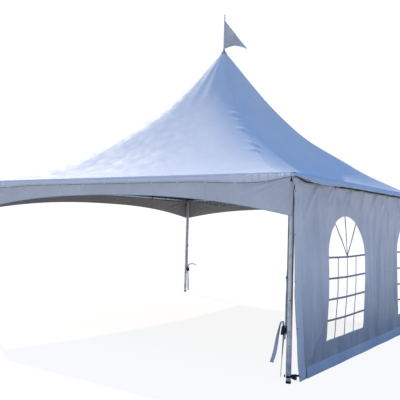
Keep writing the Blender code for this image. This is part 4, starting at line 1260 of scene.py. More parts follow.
@dataclass
class SideWall(SubAssembly):
    """Hung wall with two arched windows, edge bands, skirt, hooks and eyelets."""

    top_z: float = 2.333
    hem_z: float = 0.008
    edge_bottom: float = 2.895
    edge_heights: tuple[float, ...] = (0.0, 0.20, 0.45, 1.00, 1.60, 2.33)
    edge_reaches: tuple[float, ...] = (2.895, 2.945, 2.968, 3.064, 3.064, 3.094)
    last_hook: float = 2.990
    band_width: float = 0.180
    skirt_top: float = 0.140
    thickness: float = 0.0012
    window_centre: float = 1.470
    window_half: float = 0.650
    sill_z: float = 0.360
    spring_z: float = 1.405
    crown_z: float = 1.945
    film_margin: float = 0.018
    bar_rows: tuple[float, ...] = (0.605, 0.868, 1.135, 1.405)
    bar_columns: tuple[float, ...] = (-0.335, -0.018, 0.318)
    hooks: int = 12
    seed: int = 11

    def __post_init__(self) -> None:
        """Read where the wall hangs, and draw its random folds."""
        low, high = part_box("side_wall")
        self.outer_top = low.x + 0.003
        self.lean = (high.x - self.outer_top) / (self.top_z - self.hem_z)
        self.form = RoofForm(self.sizes)
        spacing = 2.0 * self.last_hook / (self.hooks - 1)
        self.hook_places = [-self.last_hook + spacing * k for k in range(self.hooks)]
        self.folds = list(self.drawn_folds())

    def drawn_folds(self) -> Iterable[tuple[tuple[float, float], tuple[float, float], float, float]]:
        """Folds of the hung sheet: fans under the hooks, and long soft ones.

        Yields:
            Start, end, half width and height of each fold.
        """
        draw = random.Random(self.seed)
        for hook in self.hook_places:
            for tilt in (-48.0, -20.0, 6.0, 34.0):
                angle = math.radians(tilt + draw.uniform(-9.0, 9.0))
                length = draw.uniform(0.45, 0.95)
                end = (hook + length * math.sin(angle), self.top_z - length * math.cos(angle))
                height = draw.uniform(0.5, 1.0) * 0.021
                yield (hook, self.top_z), end, draw.uniform(0.022, 0.032), height
        for _ in range(26):
            start = (draw.uniform(-2.9, 2.9), draw.uniform(1.3, 2.2))
            end = (start[0] + draw.uniform(-0.12, 0.12), start[1] - draw.uniform(0.7, 1.3))
            yield start, end, draw.uniform(0.034, 0.060), draw.uniform(-1.0, 1.0) * 0.014
        for side in (-1.0, 1.0):
            foot = (side * 2.72, 0.22)
            for tilt in (14.0, 27.0, 40.0, 53.0):
                angle = math.radians(tilt)
                length = draw.uniform(0.6, 1.0)
                end = (foot[0] - side * length * math.sin(angle), foot[1] + length * math.cos(angle))
                yield foot, end, 0.030, 0.026
            for window in (-1.0, 1.0):
                sill = (window * self.window_centre + side * (self.window_half + 0.01), 0.40)
                end = (sill[0] + side * draw.uniform(0.12, 0.3), 1.15)
                yield sill, end, 0.034, 0.018
        yield (-2.45, 2.36), (-1.55, 1.45), 0.036, 0.040
        yield (2.45, 2.36), (1.60, 1.50), 0.036, 0.034

    def build(self) -> None:
        """Make the sheet and everything welded, sewn or hooked to it."""
        wall = self.wall_piece()
        bands = [self.edge_band(side, label) for side, label in ((-1.0, "front"), (1.0, "back"))]
        skirt = self.skirt_piece()
        for side, label in ((-1.0, "front"), (1.0, "back")):
            self.window_film(side, label)
            self.window_bars(side, label)
        eyelets = self.add("wall_eyelets", joined(self.eyelets()), (NICKEL_AND_HOLE_SHADE,), Slot.WALL)
        hooks = self.add("wall_hooks", joined(self.hook_shapes()), (BLACK_PLASTIC,), Slot.WALL)
        Roof.area(wall.data) / 2

    def edge(self, height: float) -> float:
        """Half width of the wall at a height."""
        return float(np.interp(height, self.edge_heights, self.edge_reaches))

    def face_x(self, height: float) -> float:
        """X of the smooth outer face at a height."""
        return self.outer_top + (self.top_z - height) * self.lean

    def sag(self, along: float) -> float:
        """How far the top edge hangs below its hooks, less its rise with the roof's edge."""
        spacing = self.hook_places[1] - self.hook_places[0]
        share = (along - self.hook_places[0]) / spacing
        bay = min(max(share - math.floor(share), 0.0), 1.0)
        deep = 0.014 if abs(along) > self.hook_places[-1] - spacing else 0.009
        rise = max(0.0, self.form.seam_height(along) - self.form.seam_z)
        return deep * 4.0 * bay * (1.0 - bay) - rise

    def swell(self, y: np.ndarray, z: np.ndarray) -> np.ndarray:
        """How far the sheet stands off its smooth face, outward.

        Args:
            y: place along the wall.
            z: height.

        Returns:
            The distance at each place.
        """
        free = 1.0 - smoothstep(z, 1.55, 1.95)
        out = 0.007 * np.sin(y * 7.4 + 0.7 * np.sin(z * 1.7)) * (0.35 + 0.65 * free)
        out += 0.0040 * np.sin(y * 23.0 + 2.0 * np.sin(z * 1.3 + y)) * smoothstep(z, 0.3, 1.5)
        for start, end, width, height in self.folds:
            out += height * ridge(y, z, start, end, width, 0.035)
        out *= 1.0 - 0.75 * smoothstep(z, 2.24, 2.33)
        out *= 0.25 + 0.75 * smoothstep(z, 0.10, 0.34)
        for crease in (0.49, 1.13, 1.64):
            mask = 0.5 + 0.5 * np.sin(y * 2.1 + crease * 7.0)
            out += 0.0050 * mask * np.exp(-((z - crease - 0.006 * np.sin(y)) / 0.022) ** 2)
        for window in (-1.0, 1.0):
            near = np.abs(y - window * self.window_centre) < self.window_half + 0.25
            calm = near & (z < self.crown_z + 0.12)
            distance = np.maximum(np.abs(y - window * self.window_centre) - self.window_half, 0.0)
            out = np.where(calm, out * (0.35 + 2.6 * np.clip(distance, 0.0, 0.25)), out)
        guard = smoothstep(z, 1.80, 2.00)
        lifted = np.maximum(out, 0.0) + 0.0012
        belly = 0.010 * np.sin(np.pi * np.clip((z - 0.1) / 1.8, 0.0, 1.0)) ** 2
        return (out + belly) * (1.0 - guard) + lifted * guard

    def lean_over(self, places: np.ndarray) -> None:
        """Slide the sheet along itself round each window, where its ties pull it askew.

        Args:
            places: vertex coordinates, which are changed.
        """
        heights = (0.0, 0.36, 0.605, 0.868, 1.135, 1.405, 1.70, 1.945, 2.33)
        shifts = (0.0, -0.02, 0.012, 0.045, 0.050, 0.045, 0.015, -0.035, 0.0)
        y = places[:, 1].copy()
        shift = np.interp(places[:, 2], heights, shifts)
        for side in (-1.0, 1.0):
            away = np.maximum(np.abs(y - side * self.window_centre) - self.window_half, 0.0)
            places[:, 1] -= side * shift * (1.0 - smoothstep(away, 0.0, 0.5))

    def settle(self, mesh: bpy.types.Mesh, lift: float) -> None:
        """Push a sheet's vertices from the smooth face to the folded one, plus a lift."""
        places = coordinates(mesh)
        places[:, 0] += self.swell(places[:, 1], places[:, 2]) + lift
        mesh.vertices.foreach_set("co", places.ravel())
        mesh.update()

    @staticmethod
    def face_out(shape: bmesh.types.BMesh) -> bmesh.types.BMesh:
        """Turn a sheet's faces towards +X."""
        bmesh.ops.recalc_face_normals(shape, faces=shape.faces)
        if sum(face.normal.x for face in shape.faces) < 0.0:
            bmesh.ops.reverse_faces(shape, faces=shape.faces)
        return shape

    def wall_piece(self) -> bpy.types.Object:
        """Folded sheet with its two window holes."""

        def rule(a: float, b: float) -> Vector:
            share = (b + 1.0) / 2
            height = self.hem_z + (self.top_z - self.hem_z) * share
            along = a * self.edge(height)
            height -= self.sag(along) * share ** 6
            return Vector((self.face_x(height), along, height))

        shape = self.face_out(bent(grid(330, 118), rule))
        wall = self.add("wall_sheet", shape, (WALL_WHITE, VALANCE_INNER), Slot.WALL,
                        ("side_wall",), 60.0)
        self.settle(wall.data, 0.0)
        self.thicken(wall, self.thickness, inner=True)
        cutter = bpy.data.objects.new("window_cutter", bpy.data.meshes.new("window_cutter"))
        holes = joined(self.window_prism(side) for side in (-1.0, 1.0))
        holes.to_mesh(cutter.data)
        holes.free()
        bpy.context.scene.collection.objects.link(cutter)
        cut = wall.modifiers.new("windows", "BOOLEAN")
        cut.operation = "DIFFERENCE"
        cut.solver = "EXACT"
        cut.object = cutter
        bpy.context.view_layer.update()
        evaluated = wall.evaluated_get(bpy.context.evaluated_depsgraph_get())
        finished = bpy.data.meshes.new_from_object(evaluated)
        wall.modifiers.clear()
        wall.data = finished
        bpy.data.objects.remove(cutter)
        self.rewrite(finished, self.lean_over)
        return wall

    @staticmethod
    def rewrite(mesh: bpy.types.Mesh, change: Callable[[np.ndarray], None]) -> None:
        """Run a change on a mesh's coordinates."""
        places = coordinates(mesh)
        change(places)
        mesh.vertices.foreach_set("co", places.ravel())
        mesh.update()

    def arch(self, a: float, margin: float) -> tuple[float, float]:
        """Across and height of the window's arch at a place from -1 to 1."""
        angle = math.pi / 2 * (1.0 - a)
        half = self.window_half + margin
        return half * math.cos(angle), self.spring_z + (
            self.crown_z - self.spring_z + margin) * math.sin(angle)

    def window_prism(self, side: float) -> bmesh.types.BMesh:
        """Solid that cuts one window's hole."""
        shape = bmesh.new()
        outline = [(-self.window_half, self.sill_z), (self.window_half, self.sill_z)]
        outline += [self.arch(1.0 - 2.0 * k / 48, 0.0) for k in range(49)]
        near = self.outer_top - 0.10
        verts = [shape.verts.new((near, side * self.window_centre + u, v)) for u, v in outline]
        bmesh.ops.remove_doubles(shape, verts=verts, dist=1e-6)
        face = bmesh.ops.contextual_create(shape, geom=shape.verts[:])["faces"]
        grown = bmesh.ops.extrude_face_region(shape, geom=face)["geom"]
        tips = [item for item in grown if isinstance(item, bmesh.types.BMVert)]
        bmesh.ops.translate(shape, vec=Vector((0.25, 0.0, 0.0)), verts=tips)
        bmesh.ops.recalc_face_normals(shape, faces=shape.faces)
        return shape

    def window_film(self, side: float, label: str) -> bpy.types.Object:
        """Clear film behind one window's hole, with a few soft ripples."""
        margin = self.film_margin

        def rule(a: float, b: float) -> Vector:
            across, top = self.arch(a, margin)
            low = self.sill_z - margin
            height = low + (top - low) * (b + 1.0) / 2
            ripple = 0.0016 * math.sin(9.0 * across + 3.0 * height) * (1.0 - a * a)
            x = self.face_x(height) - self.thickness - 0.0016 + ripple - 0.0006
            return Vector((x, side * self.window_centre + across, height))

        shape = self.face_out(bent(grid(48, 56), rule))
        film = self.add(f"window_film_sheet_{label}", shape, (WINDOW_FILM,), Slot.FILM,
                        (f"window_film_{label}",), 60.0)
        self.rewrite(film.data, lambda places: self.follow(places, side))
        self.thicken(film, 0.0006)
        return film

    def follow(self, places: np.ndarray, side: float) -> None:
        """Make a window's film or bars follow the folded sheet: closely at the rim."""
        across = places[:, 1] - side * self.window_centre
        height = places[:, 2]
        rise = (self.crown_z - self.spring_z) * np.sqrt(
            np.clip(1.0 - (across / self.window_half) ** 2, 0.0, 1.0))
        to_side = self.window_half - np.abs(across)
        to_top = self.spring_z + rise - height
        to_sill = height - self.sill_z
        nearest = np.minimum(np.minimum(to_side, to_top), to_sill)
        share = 1.0 - 0.5 * smoothstep(nearest, 0.02, 0.2)
        places[:, 0] += self.swell(places[:, 1], height) * share
        self.lean_over(places)

    def window_bars(self, side: float, label: str) -> bpy.types.Object:
        """Welded bars of one window, white vinyl with a dark grey finish that paints their shade:
        rows, columns and the three rays of the arch.
        """
        strips = []
        skew = 0.045
        for row in self.bar_rows:
            strips.append(((-self.window_half - 0.01, row), (self.window_half + 0.01, row),
                           0.026, 0.0))
        for column in self.bar_columns:
            strips.append(((column - skew, self.sill_z - 0.01), (column, self.spring_z), 0.027,
                           0.006))
        hub = (self.bar_columns[1], self.spring_z)
        for angle in (126.0, 92.0, 55.0):
            tip = self.arch(1.0 - angle / 90.0, 0.008)
            strips.append((hub, tip, 0.028, 0.0))
        shapes = [self.bar_strip(side, *strip) for strip in strips]
        piece = self.add(f"window_bars_{label}", joined(shapes), (WINDOW_BAR_SHADED,), Slot.WALL, (), 60.0)
        self.rewrite(piece.data, lambda places: self.follow(places, side))
        self.thicken(piece, 0.0008)
        return piece

    def bar_strip(self, side: float, start: tuple[float, float], end: tuple[float, float],
                  width: float, wander: float) -> bmesh.types.BMesh:
        """One flat bar from point to point of a window, slightly wandering."""
        run = Vector((end[0] - start[0], end[1] - start[1]))
        across = Vector((-run.y, run.x)).normalized()

        def rule(a: float, b: float) -> Vector:
            share = (a + 1.0) / 2
            shift = wander * math.sin(7.0 * share * run.length) * math.sin(math.pi * share)
            spot = Vector(start) + run * share + across * (b * width / 2 + shift)
            sag = 0.010 * math.sin(math.pi * share) if abs(run.x) > 1.0 else 0.0
            x = self.face_x(spot.y) - self.thickness + 0.0004
            return Vector((x, side * self.window_centre + spot.x, spot.y - sag))

        return self.face_out(bent(grid(48, 2), rule))

    def edge_band(self, side: float, label: str) -> bpy.types.Object:
        """Doubled band along one end of the wall, hanging a little lower than its hem."""

        def rule(a: float, b: float) -> Vector:
            height = 0.004 + (self.top_z - 0.012) * (b + 1.0) / 2
            outer = self.edge(height) + 0.001
            along = side * (outer - self.band_width * (a + 1.0) / 2)
            curl = 0.006 * math.exp(-((a + 1.0) / 0.35) ** 2) * math.sin(9.0 * height + 1.0)
            height -= 0.9 * self.sag(along) * ((b + 1.0) / 2) ** 6
            return Vector((self.face_x(height) + abs(curl) * min(height, 0.5), along, height))

        shape = self.face_out(bent(grid(24, 150), rule))
        band = self.add(f"wall_edge_sheet_{label}", shape, (BAND_WHITE,), Slot.WALL,
                        (f"wall_edge_band_{label}",), 60.0)
        self.settle(band.data, 0.0026)
        self.thicken(band, self.thickness)
        return band

    def skirt_piece(self) -> bpy.types.Object:
        """Blue-grey flap welded along the wall's foot."""
        half = self.edge_bottom - self.band_width - 0.002

        def rule(a: float, b: float) -> Vector:
            height = 0.006 + (self.skirt_top - 0.006) * (b + 1.0) / 2
            along = a * half
            flare = 0.004 * (1.0 - b) * (1.0 + 0.4 * math.sin(6.0 * along))
            return Vector((self.face_x(height) + flare, along, height))

        shape = self.face_out(bent(grid(220, 14), rule))
        skirt = self.add("wall_skirt_sheet", shape, (SKIRT_BLUE, ROOF_INNER), Slot.SKIRT,
                         ("wall_skirt",), 60.0)
        self.settle(skirt.data, 0.0028)
        self.thicken(skirt, self.thickness, inner=True)
        return skirt

    def on_face(self, along: float, height: float, lift: float) -> Vector:
        """Point on the folded wall, plus a lift."""
        swell = self.swell(np.array([along]), np.array([height]))[0]
        return Vector((self.face_x(height) + swell + lift, along, height))

    def eyelets(self) -> Iterable[bmesh.types.BMesh]:
        """Eyelets of the hem and of the two ends."""
        outward = Vector((1.0, 0.0, 0.0))
        for k in range(7):
            yield eyelet(self.on_face(-2.26 + 0.78 * k, 0.024, 0.0072), outward)
        for side in (-1.0, 1.0):
            for height in (0.060, 0.62, 1.16, 1.70, 2.20):
                along = side * (self.edge(height) - 0.030)
                yield eyelet(self.on_face(along, height, 0.0035), outward, 0.010)
        for hook in self.hook_places:
            yield eyelet(self.on_face(hook, self.top_z - 0.030, 0.0004), outward, 0.009)

    def hook_shapes(self) -> Iterable[bmesh.types.BMesh]:
        """Small hooks from the eyelets of the top edge up behind the roof's lip."""
        for hook in self.hook_places:
            low = self.on_face(hook, self.top_z - 0.030, 0.0022)
            high = Vector((self.outer_top + 0.0035, hook, self.top_z + 0.012))
            yield bar(low, high, 0.0019, 10)
            yield block((0.004, 0.016, 0.010), high, 0.001)


@dataclass
class LegStraps(SubAssembly):
    """Webbing on each leg: the corner strap through the ratchet to its tail, and the lower one."""

    width: float = 0.044
    thickness: float = 0.0022
    ratchet_z: float = 0.625
    ratchet_out: float = 0.066
    spool: float = 0.010
    eye_drop: float = 0.075
    eye_radius: float = 0.005
    facing: float = 0.95

    def build(self) -> None:
        """Make the eight straps and the loops that keep them on their legs."""
        for corner in Corner:
            label = corner.label
            facing = self.facing if corner.value[0] * corner.value[1] < 0 else -self.facing
            upper = self.ribbon(self.upper_path(corner), corner, facing, 0.815)
            self.add(f"corner_webbing_{label}", upper, (STRAP_GREY,), Slot.WEBBING,
                     (f"corner_strap_{label}",), 50.0)
            lower = self.ribbon(self.lower_path(), corner, -0.35, 0.2)
            self.add(f"lower_webbing_{label}", lower, (STRAP_GREY,), Slot.WEBBING,
                     (f"lower_strap_{label}",), 50.0)
            self.add(f"strap_keeper_{label}", self.keeper(corner), (BLACK_PLASTIC,),
                     Slot.BLACK_WEBBING)

    def keeper(self, corner: Corner) -> bmesh.types.BMesh:
        """Plastic loop that holds the strap's run against its leg."""
        base = self.sizes.place(corner)
        inward = -corner.value[0]
        shapes = []
        for side in (-1.0, 1.0):
            shapes.append(block((0.014, 0.0035, 0.020),
                                base + Vector((inward * 0.0395, side * 0.0245, 1.2)), 0.0008))
        shapes.append(block((0.0035, 0.052, 0.020),
                            base + Vector((inward * 0.0475, 0.0, 1.2)), 0.0008))
        return joined(shapes)

    @staticmethod
    def smooth(points: Sequence[Vector], steps: int) -> list[Vector]:
        """Catmull-Rom curve through a few points."""
        ends = [2 * points[0] - points[1], *points, 2 * points[-1] - points[-2]]
        path = []
        for a, b, c, d in zip(ends, ends[1:], ends[2:], ends[3:]):
            for step in range(steps):
                t = step / steps
                path.append(0.5 * (2 * b + (c - a) * t + (2 * a - 5 * b + 4 * c - d) * t * t
                                   + (3 * b - a - 3 * c + d) * t * t * t))
        path.append(points[-1])
        return path

    @staticmethod
    def arc(centre: Vector, radius: float, start: float, end: float, count: int) -> list[Vector]:
        """Points along an arc, with its angles in degrees."""
        angles = [math.radians(start + (end - start) * k / (count - 1)) for k in range(count)]
        return [centre + radius * Vector((math.cos(a), math.sin(a))) for a in angles]

    def upper_path(self, corner: Corner) -> list[Vector]:
        """Path of the corner strap: out from the leg's axis, and up."""
        run = 0.0345 + 0.0018
        spool = Vector((self.ratchet_out, self.ratchet_z))
        wrap = self.spool + 0.0016
        path = [Vector((run, height)) for height in np.linspace(2.341, 1.32, 26)]
        path += self.smooth([Vector((run, 1.30)), Vector((run + 0.007, 1.19)),
                             Vector((run + 0.004, 1.10)), Vector((run + 0.009, 0.95)),
                             Vector((run + 0.009, 0.80)), Vector((run + 0.008, 0.70)),
                             Vector((run + 0.012, 0.655))], 7)
        path += self.arc(spool, wrap, 160.0, 375.0, 22)
        if corner is Corner.BACK_LEFT:
            tail = [Vector((0.084, 0.690)), Vector((0.105, 0.712)), Vector((0.190, 0.735)),
                    Vector((0.270, 0.730)), Vector((0.335, 0.705))]
        else:
            tail = [Vector((0.083, 0.683)), Vector((0.100, 0.690)), Vector((0.118, 0.655)),
                    Vector((0.150, 0.510)), Vector((0.182, 0.330)), Vector((0.222, 0.200))]
        path += self.smooth([spool + Vector((wrap + 0.001, 0.018)), *tail], 9)
        return path

    def lower_path(self) -> list[Vector]:
        """Path of the lower strap, sewn back round the ratchet's eye bar."""
        eye = Vector((self.ratchet_out, self.ratchet_z - self.eye_drop))
        wrap = self.eye_radius + 0.0016
        path = self.smooth([eye + Vector((-wrap, -0.060)), eye + Vector((-wrap, -0.015))], 6)[:-1]
        path += self.arc(eye, wrap, 180.0, 0.0, 12)
        path += self.smooth([eye + Vector((wrap, -0.03)), eye + Vector((wrap + 0.012, -0.24)),
                             Vector((0.100, 0.055))], 14)
        return path

    def ribbon(self, path: Sequence[Vector], corner: Corner, twist: float,
               start: float) -> bmesh.types.BMesh:
        """Strap along a path in the leg's plane, with a twist towards its free end.

        Args:
            path: points of its middle line, out from the leg and up.
            corner: the leg's corner.
            twist: turn of the free end, in radians.
            start: share of the length where the twist begins.

        Returns:
            The closed strap with a map in metres.
        """
        columns = len(path) - 1
        shape = grid(columns, 6)
        lengths = [0.0]
        for before, after in zip(path, path[1:]):
            lengths.append(lengths[-1] + (after - before).length)
        base = self.sizes.place(corner)
        inward = -corner.value[0]
        layer = shape.loops.layers.uv.verify()
        for face in shape.faces:
            for loop in face.loops:
                index = round((loop.vert.co.x + 1.0) / 2 * columns)
                loop[layer].uv = (loop.vert.co.y * self.width / 2, lengths[index])
        for vert in shape.verts:
            index = round((vert.co.x + 1.0) / 2 * columns)
            spot = path[index]
            share = lengths[index] / lengths[-1]
            turn = twist * min(max(0.0, (share - start) / (1.0 - start)) * 1.6, 1.0)
            before, after = path[max(index - 1, 0)], path[min(index + 1, columns)]
            along = (after - before).normalized()
            side = vert.co.y * self.width / 2
            out = spot.x + side * math.sin(turn) * along.y
            up = spot.y - side * math.sin(turn) * along.x
            vert.co = base + Vector((inward * out, side * math.cos(turn), up))
        bmesh.ops.recalc_face_normals(shape, faces=shape.faces)
        bmesh.ops.solidify(shape, geom=shape.faces[:], thickness=self.thickness)
        bmesh.ops.recalc_face_normals(shape, faces=shape.faces)
        return shape


def outline_plate(outline: Sequence[tuple[float, float]], middle: float, thickness: float,
                  bevel: float = 0.0005) -> bmesh.types.BMesh:
    """Flat plate with an outline in X and Z, and rounded edges.

    Args:
        outline: its corners.
        middle: Y of its middle plane.
        thickness: how thick it is along Y.
        bevel: width of its rounded edges.

    Returns:
        The shape.
    """
    shape = bmesh.new()
    low = middle - thickness / 2
    verts = [shape.verts.new((x, low, z)) for x, z in outline]
    face = bmesh.ops.contextual_create(shape, geom=verts)["faces"]
    grown = bmesh.ops.extrude_face_region(shape, geom=face)["geom"]
    tips = [item for item in grown if isinstance(item, bmesh.types.BMVert)]
    bmesh.ops.translate(shape, vec=Vector((0.0, thickness, 0.0)), verts=tips)
    bmesh.ops.recalc_face_normals(shape, faces=shape.faces)
    rims = [edge for edge in shape.edges if edge.calc_face_angle(0.0) > 1.2]
    bmesh.ops.bevel(shape, geom=rims, offset=bevel, segments=2, profile=0.5, affect="EDGES",
                    material=-1)
    return shape


def link_outline(first: tuple[float, float], first_radius: float, last: tuple[float, float],
                 last_radius: float, steps: int = 12) -> list[tuple[float, float]]:
    """Outline of a flat link that is rounded about two points."""
    run = math.atan2(last[1] - first[1], last[0] - first[0])
    length = math.hypot(last[0] - first[0], last[1] - first[1])
    tilt = math.asin((first_radius - last_radius) / length)
    points = []
    for centre, radius, start, end in (
            (first, first_radius, math.pi / 2 - tilt, 3 * math.pi / 2 + tilt),
            (last, last_radius, -math.pi / 2 + tilt, math.pi / 2 - tilt)):
        for k in range(steps + 1):
            angle = run + start + (end - start) * k / steps
            points.append((centre[0] + radius * math.cos(angle),
                           centre[1] + radius * math.sin(angle)))
    return points


def hex_bolt(seat: Vector, outward: Vector, radius: float) -> bmesh.types.BMesh:
    """Hexagon head with its washer, on a surface.

    Args:
        seat: middle of the washer's underside.
        outward: direction of the bolt's head.
        radius: radius across the head's corners.

    Returns:
        The shape.
    """
    head = bmesh.new()
    bmesh.ops.create_cone(head, cap_ends=True, segments=6, radius1=radius, radius2=radius,
                          depth=radius * 0.8)
    bmesh.ops.bevel(head, geom=head.edges[:], offset=radius * 0.08, segments=2, profile=0.5,
                    affect="EDGES", material=-1)
    bmesh.ops.translate(head, vec=Vector((0.0, 0.0, radius * 0.6)), verts=head.verts)
    washer = turned([(0.0, -0.0004), (radius * 1.35, -0.0004), (radius * 1.4, radius * 0.1),
                     (radius * 1.3, radius * 0.22), (0.0, radius * 0.22)], 24)
    return moved(joined((head, washer)), aimed(seat, seat + outward))


@dataclass
class Ratchets(SubAssembly):
    """Ratchet on each leg: side plates, toothed wheels, spool, pawl, handle and leg bolt."""

    out: float = 0.066
    height: float = 0.625
    gap: float = 0.050
    plate: float = 0.003
    eye_drop: float = 0.075
    teeth: int = 13
    grip: tuple[float, float] = (0.020, -0.074)

    def build(self) -> None:
        """Make the four ratchets."""
        for corner in Corner:
            label = corner.label
            base = self.sizes.place(corner, self.height)
            base.x -= corner.value[0] * self.out
            stand = Matrix.Translation(base) @ Matrix.Diagonal((-corner.value[0], 1.0, 1.0, 1.0))
            self.add(f"ratchet_{label}", moved(joined(self.parts()), stand), (BLACK_STEEL,),
                     Slot.BLACK_STEEL, (f"strap_ratchet_{label}",), 40.0)

    def wheel_outline(self) -> list[tuple[float, float]]:
        """Outline of a toothed wheel."""
        points = []
        for tooth in range(self.teeth):
            start = math.tau * tooth / self.teeth
            for share, radius in ((0.0, 0.0180), (0.55, 0.0215), (0.85, 0.0225), (0.92, 0.0182)):
                angle = start + share * math.tau / self.teeth
                points.append((radius * math.cos(angle), radius * math.sin(angle)))
        return points

    def parts(self) -> Iterable[bmesh.types.BMesh]:
        """Shapes of one ratchet about its spool, with X away from the leg."""
        eye = (0.0, -self.eye_drop)
        half = self.gap / 2
        body = link_outline((-0.004, 0.006), 0.018, (-0.003, -self.eye_drop), 0.012)
        arm = link_outline((0.006, 0.006), 0.014, self.grip, 0.011)
        for side in (-1.0, 1.0):
            across = Vector((0.0, side, 0.0))
            yield outline_plate(body, side * (half + self.plate / 2), self.plate)
            yield outline_plate(self.wheel_outline(), side * (half - 0.0017), 0.0024, 0.0002)
            yield outline_plate(arm, side * (half + self.plate * 1.5 + 0.0004), self.plate)
            yield hex_bolt(Vector((0.0, side * (half + 2 * self.plate + 0.0006), 0.0)), across,
                           0.0085)
            yield hex_bolt(Vector((eye[0], side * (half + self.plate), eye[1])), across, 0.0065)
            yield hex_bolt(Vector((self.grip[0], side * (half + 2 * self.plate + 0.0006),
                                   self.grip[1])), across, 0.0050)
        span = Vector((0.0, half + self.plate, 0.0))
        yield bar(-span, span, 0.0094, 24)
        low = Vector((eye[0], 0.0, eye[1]))
        yield bar(low - span, low + span, 0.005, 16)
        grip = Vector((self.grip[0], 0.0, self.grip[1]))
        ribs = [(0.0, -half + 0.0005)]
        for k in range(41):
            ribs.append((0.0078 + 0.0007 * math.cos(math.pi * k), -half + 0.001
                         + (2 * half - 0.002) * k / 40))
        ribs.append((0.0, half - 0.0005))
        lay = Matrix.Translation(grip) @ Matrix.Rotation(-math.pi / 2, 4, "X")
        yield moved(turned(ribs, 20), lay)
        yield block((0.004, self.gap + 0.001, 0.030), (-0.019, 0.0, -0.040), 0.0008)
        yield block((0.016, self.gap + 0.010, 0.0028), (-0.006, 0.0, -0.0245), 0.0007)
        yield block((0.0028, self.gap + 0.001, 0.016), (0.0145, 0.0, -0.046), 0.0007)
        reach = -(self.out - self.sizes.tube_radius)
        yield bar(Vector((-0.018, 0.0, -0.040)), Vector((reach, 0.0, -0.040)), 0.006, 20)
        yield hex_bolt(Vector((-0.017, 0.0, -0.040)), Vector((1.0, 0.0, 0.0)), 0.0085)


@dataclass
class WallTies(SubAssembly):
    """Black strap and buckle from each lower corner of the wall to the leg's foot."""

    height: float = 0.075
    webbing: float = 0.024
    along: float = 0.118

    def build(self) -> None:
        """Make the two ties."""
        low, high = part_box("wall_tie_front")
        self.reach = high.x - self.sizes.leg_axis
        for side, label in ((-1.0, "front"), (1.0, "back")):
            base = Vector((self.sizes.leg_axis, side * self.sizes.leg_axis, self.height))
            stand = Matrix.Translation(base) @ Matrix.Diagonal((1.0, -side, 1.0, 1.0))
            straps = moved(joined(self.straps()), stand)
            self.add(f"tie_webbing_{label}", straps, (STRAP_BLACK,), Slot.BLACK_WEBBING,
                     (f"wall_tie_{label}",), 40.0)
            hardware = moved(joined(self.hardware()), stand)
            self.add(f"tie_buckle_{label}", hardware, (BLACK_PLASTIC,), Slot.BLACK_WEBBING)

    def strap(self, points: Sequence[Vector], width: float) -> bmesh.types.BMesh:
        """Upright band of webbing along points of its lower edge's middle line."""
        columns = len(points) - 1
        shape = grid(columns, 4)
        layer = shape.loops.layers.uv.verify()
        for face in shape.faces:
            for loop in face.loops:
                loop[layer].uv = (loop.vert.co.y * width / 2, loop.vert.co.x * 0.1)
        for vert in shape.verts:
            spot = points[round((vert.co.x + 1.0) / 2 * columns)]
            vert.co = spot + Vector((0.0, 0.0, vert.co.y * width / 2))
        bmesh.ops.recalc_face_normals(shape, faces=shape.faces)
        bmesh.ops.solidify(shape, geom=shape.faces[:], thickness=0.0024)
        return shape

    def straps(self) -> Iterable[bmesh.types.BMesh]:
        """Loop round the sleeve and the two runs to the wall, towards +Y of the leg."""
        radius = self.sizes.sleeve_radius + 0.0032
        loop = [Vector((radius * math.cos(a), radius * math.sin(a), 0.0))
                for a in np.linspace(math.radians(130.0), math.radians(350.0), 28)]
        tip = Vector((self.reach - 0.002, self.along, 0.0))
        for end, sag in ((loop[-1], 0.003), (loop[0], -0.002)):
            run = [end.lerp(tip, k / 10) + Vector((0.0, 0.0, sag * math.sin(math.pi * k / 10)))
                   for k in range(11)]
            yield self.strap(run, self.webbing)
        yield self.strap(loop, self.webbing)
        hang = [Vector((self.reach * 0.62 + 0.002 * k, 0.058 + 0.003 * k, -0.008 - 0.0045 * k))
                for k in range(9)]
        yield self.strap(hang, self.webbing * 0.8)

    def hardware(self) -> Iterable[bmesh.types.BMesh]:
        """Cam buckle half way, and the tightening knob on the loop's far side."""
        middle = Vector((self.reach * 0.52, 0.062, 0.0))
        turn = Matrix.Translation(middle) @ Matrix.Rotation(math.radians(-33.0), 4, "Z")
        yield moved(block((0.028, 0.060, 0.050), (0.0, 0.0, -0.006), 0.004, 3), turn)
        yield moved(block((0.018, 0.036, 0.058), (0.012, 0.004, -0.012), 0.004, 3), turn)
        yield moved(bar(Vector((0.0, -0.027, -0.016)), Vector((0.0, -0.027, 0.016)), 0.004), turn)
        knob = Vector((-0.048, -0.006, 0.002))
        yield bar(Vector((-self.sizes.sleeve_radius, -0.004, 0.002)), knob, 0.0045, 16)
        yield bar(knob + Vector((0.0, 0.0, -0.016)), knob + Vector((0.0, 0.0, 0.016)), 0.0055, 16)
        yield bar(knob + Vector((0.002, 0.0, 0.0)), knob + Vector((-0.006, 0.0, 0.0)), 0.0075, 16)


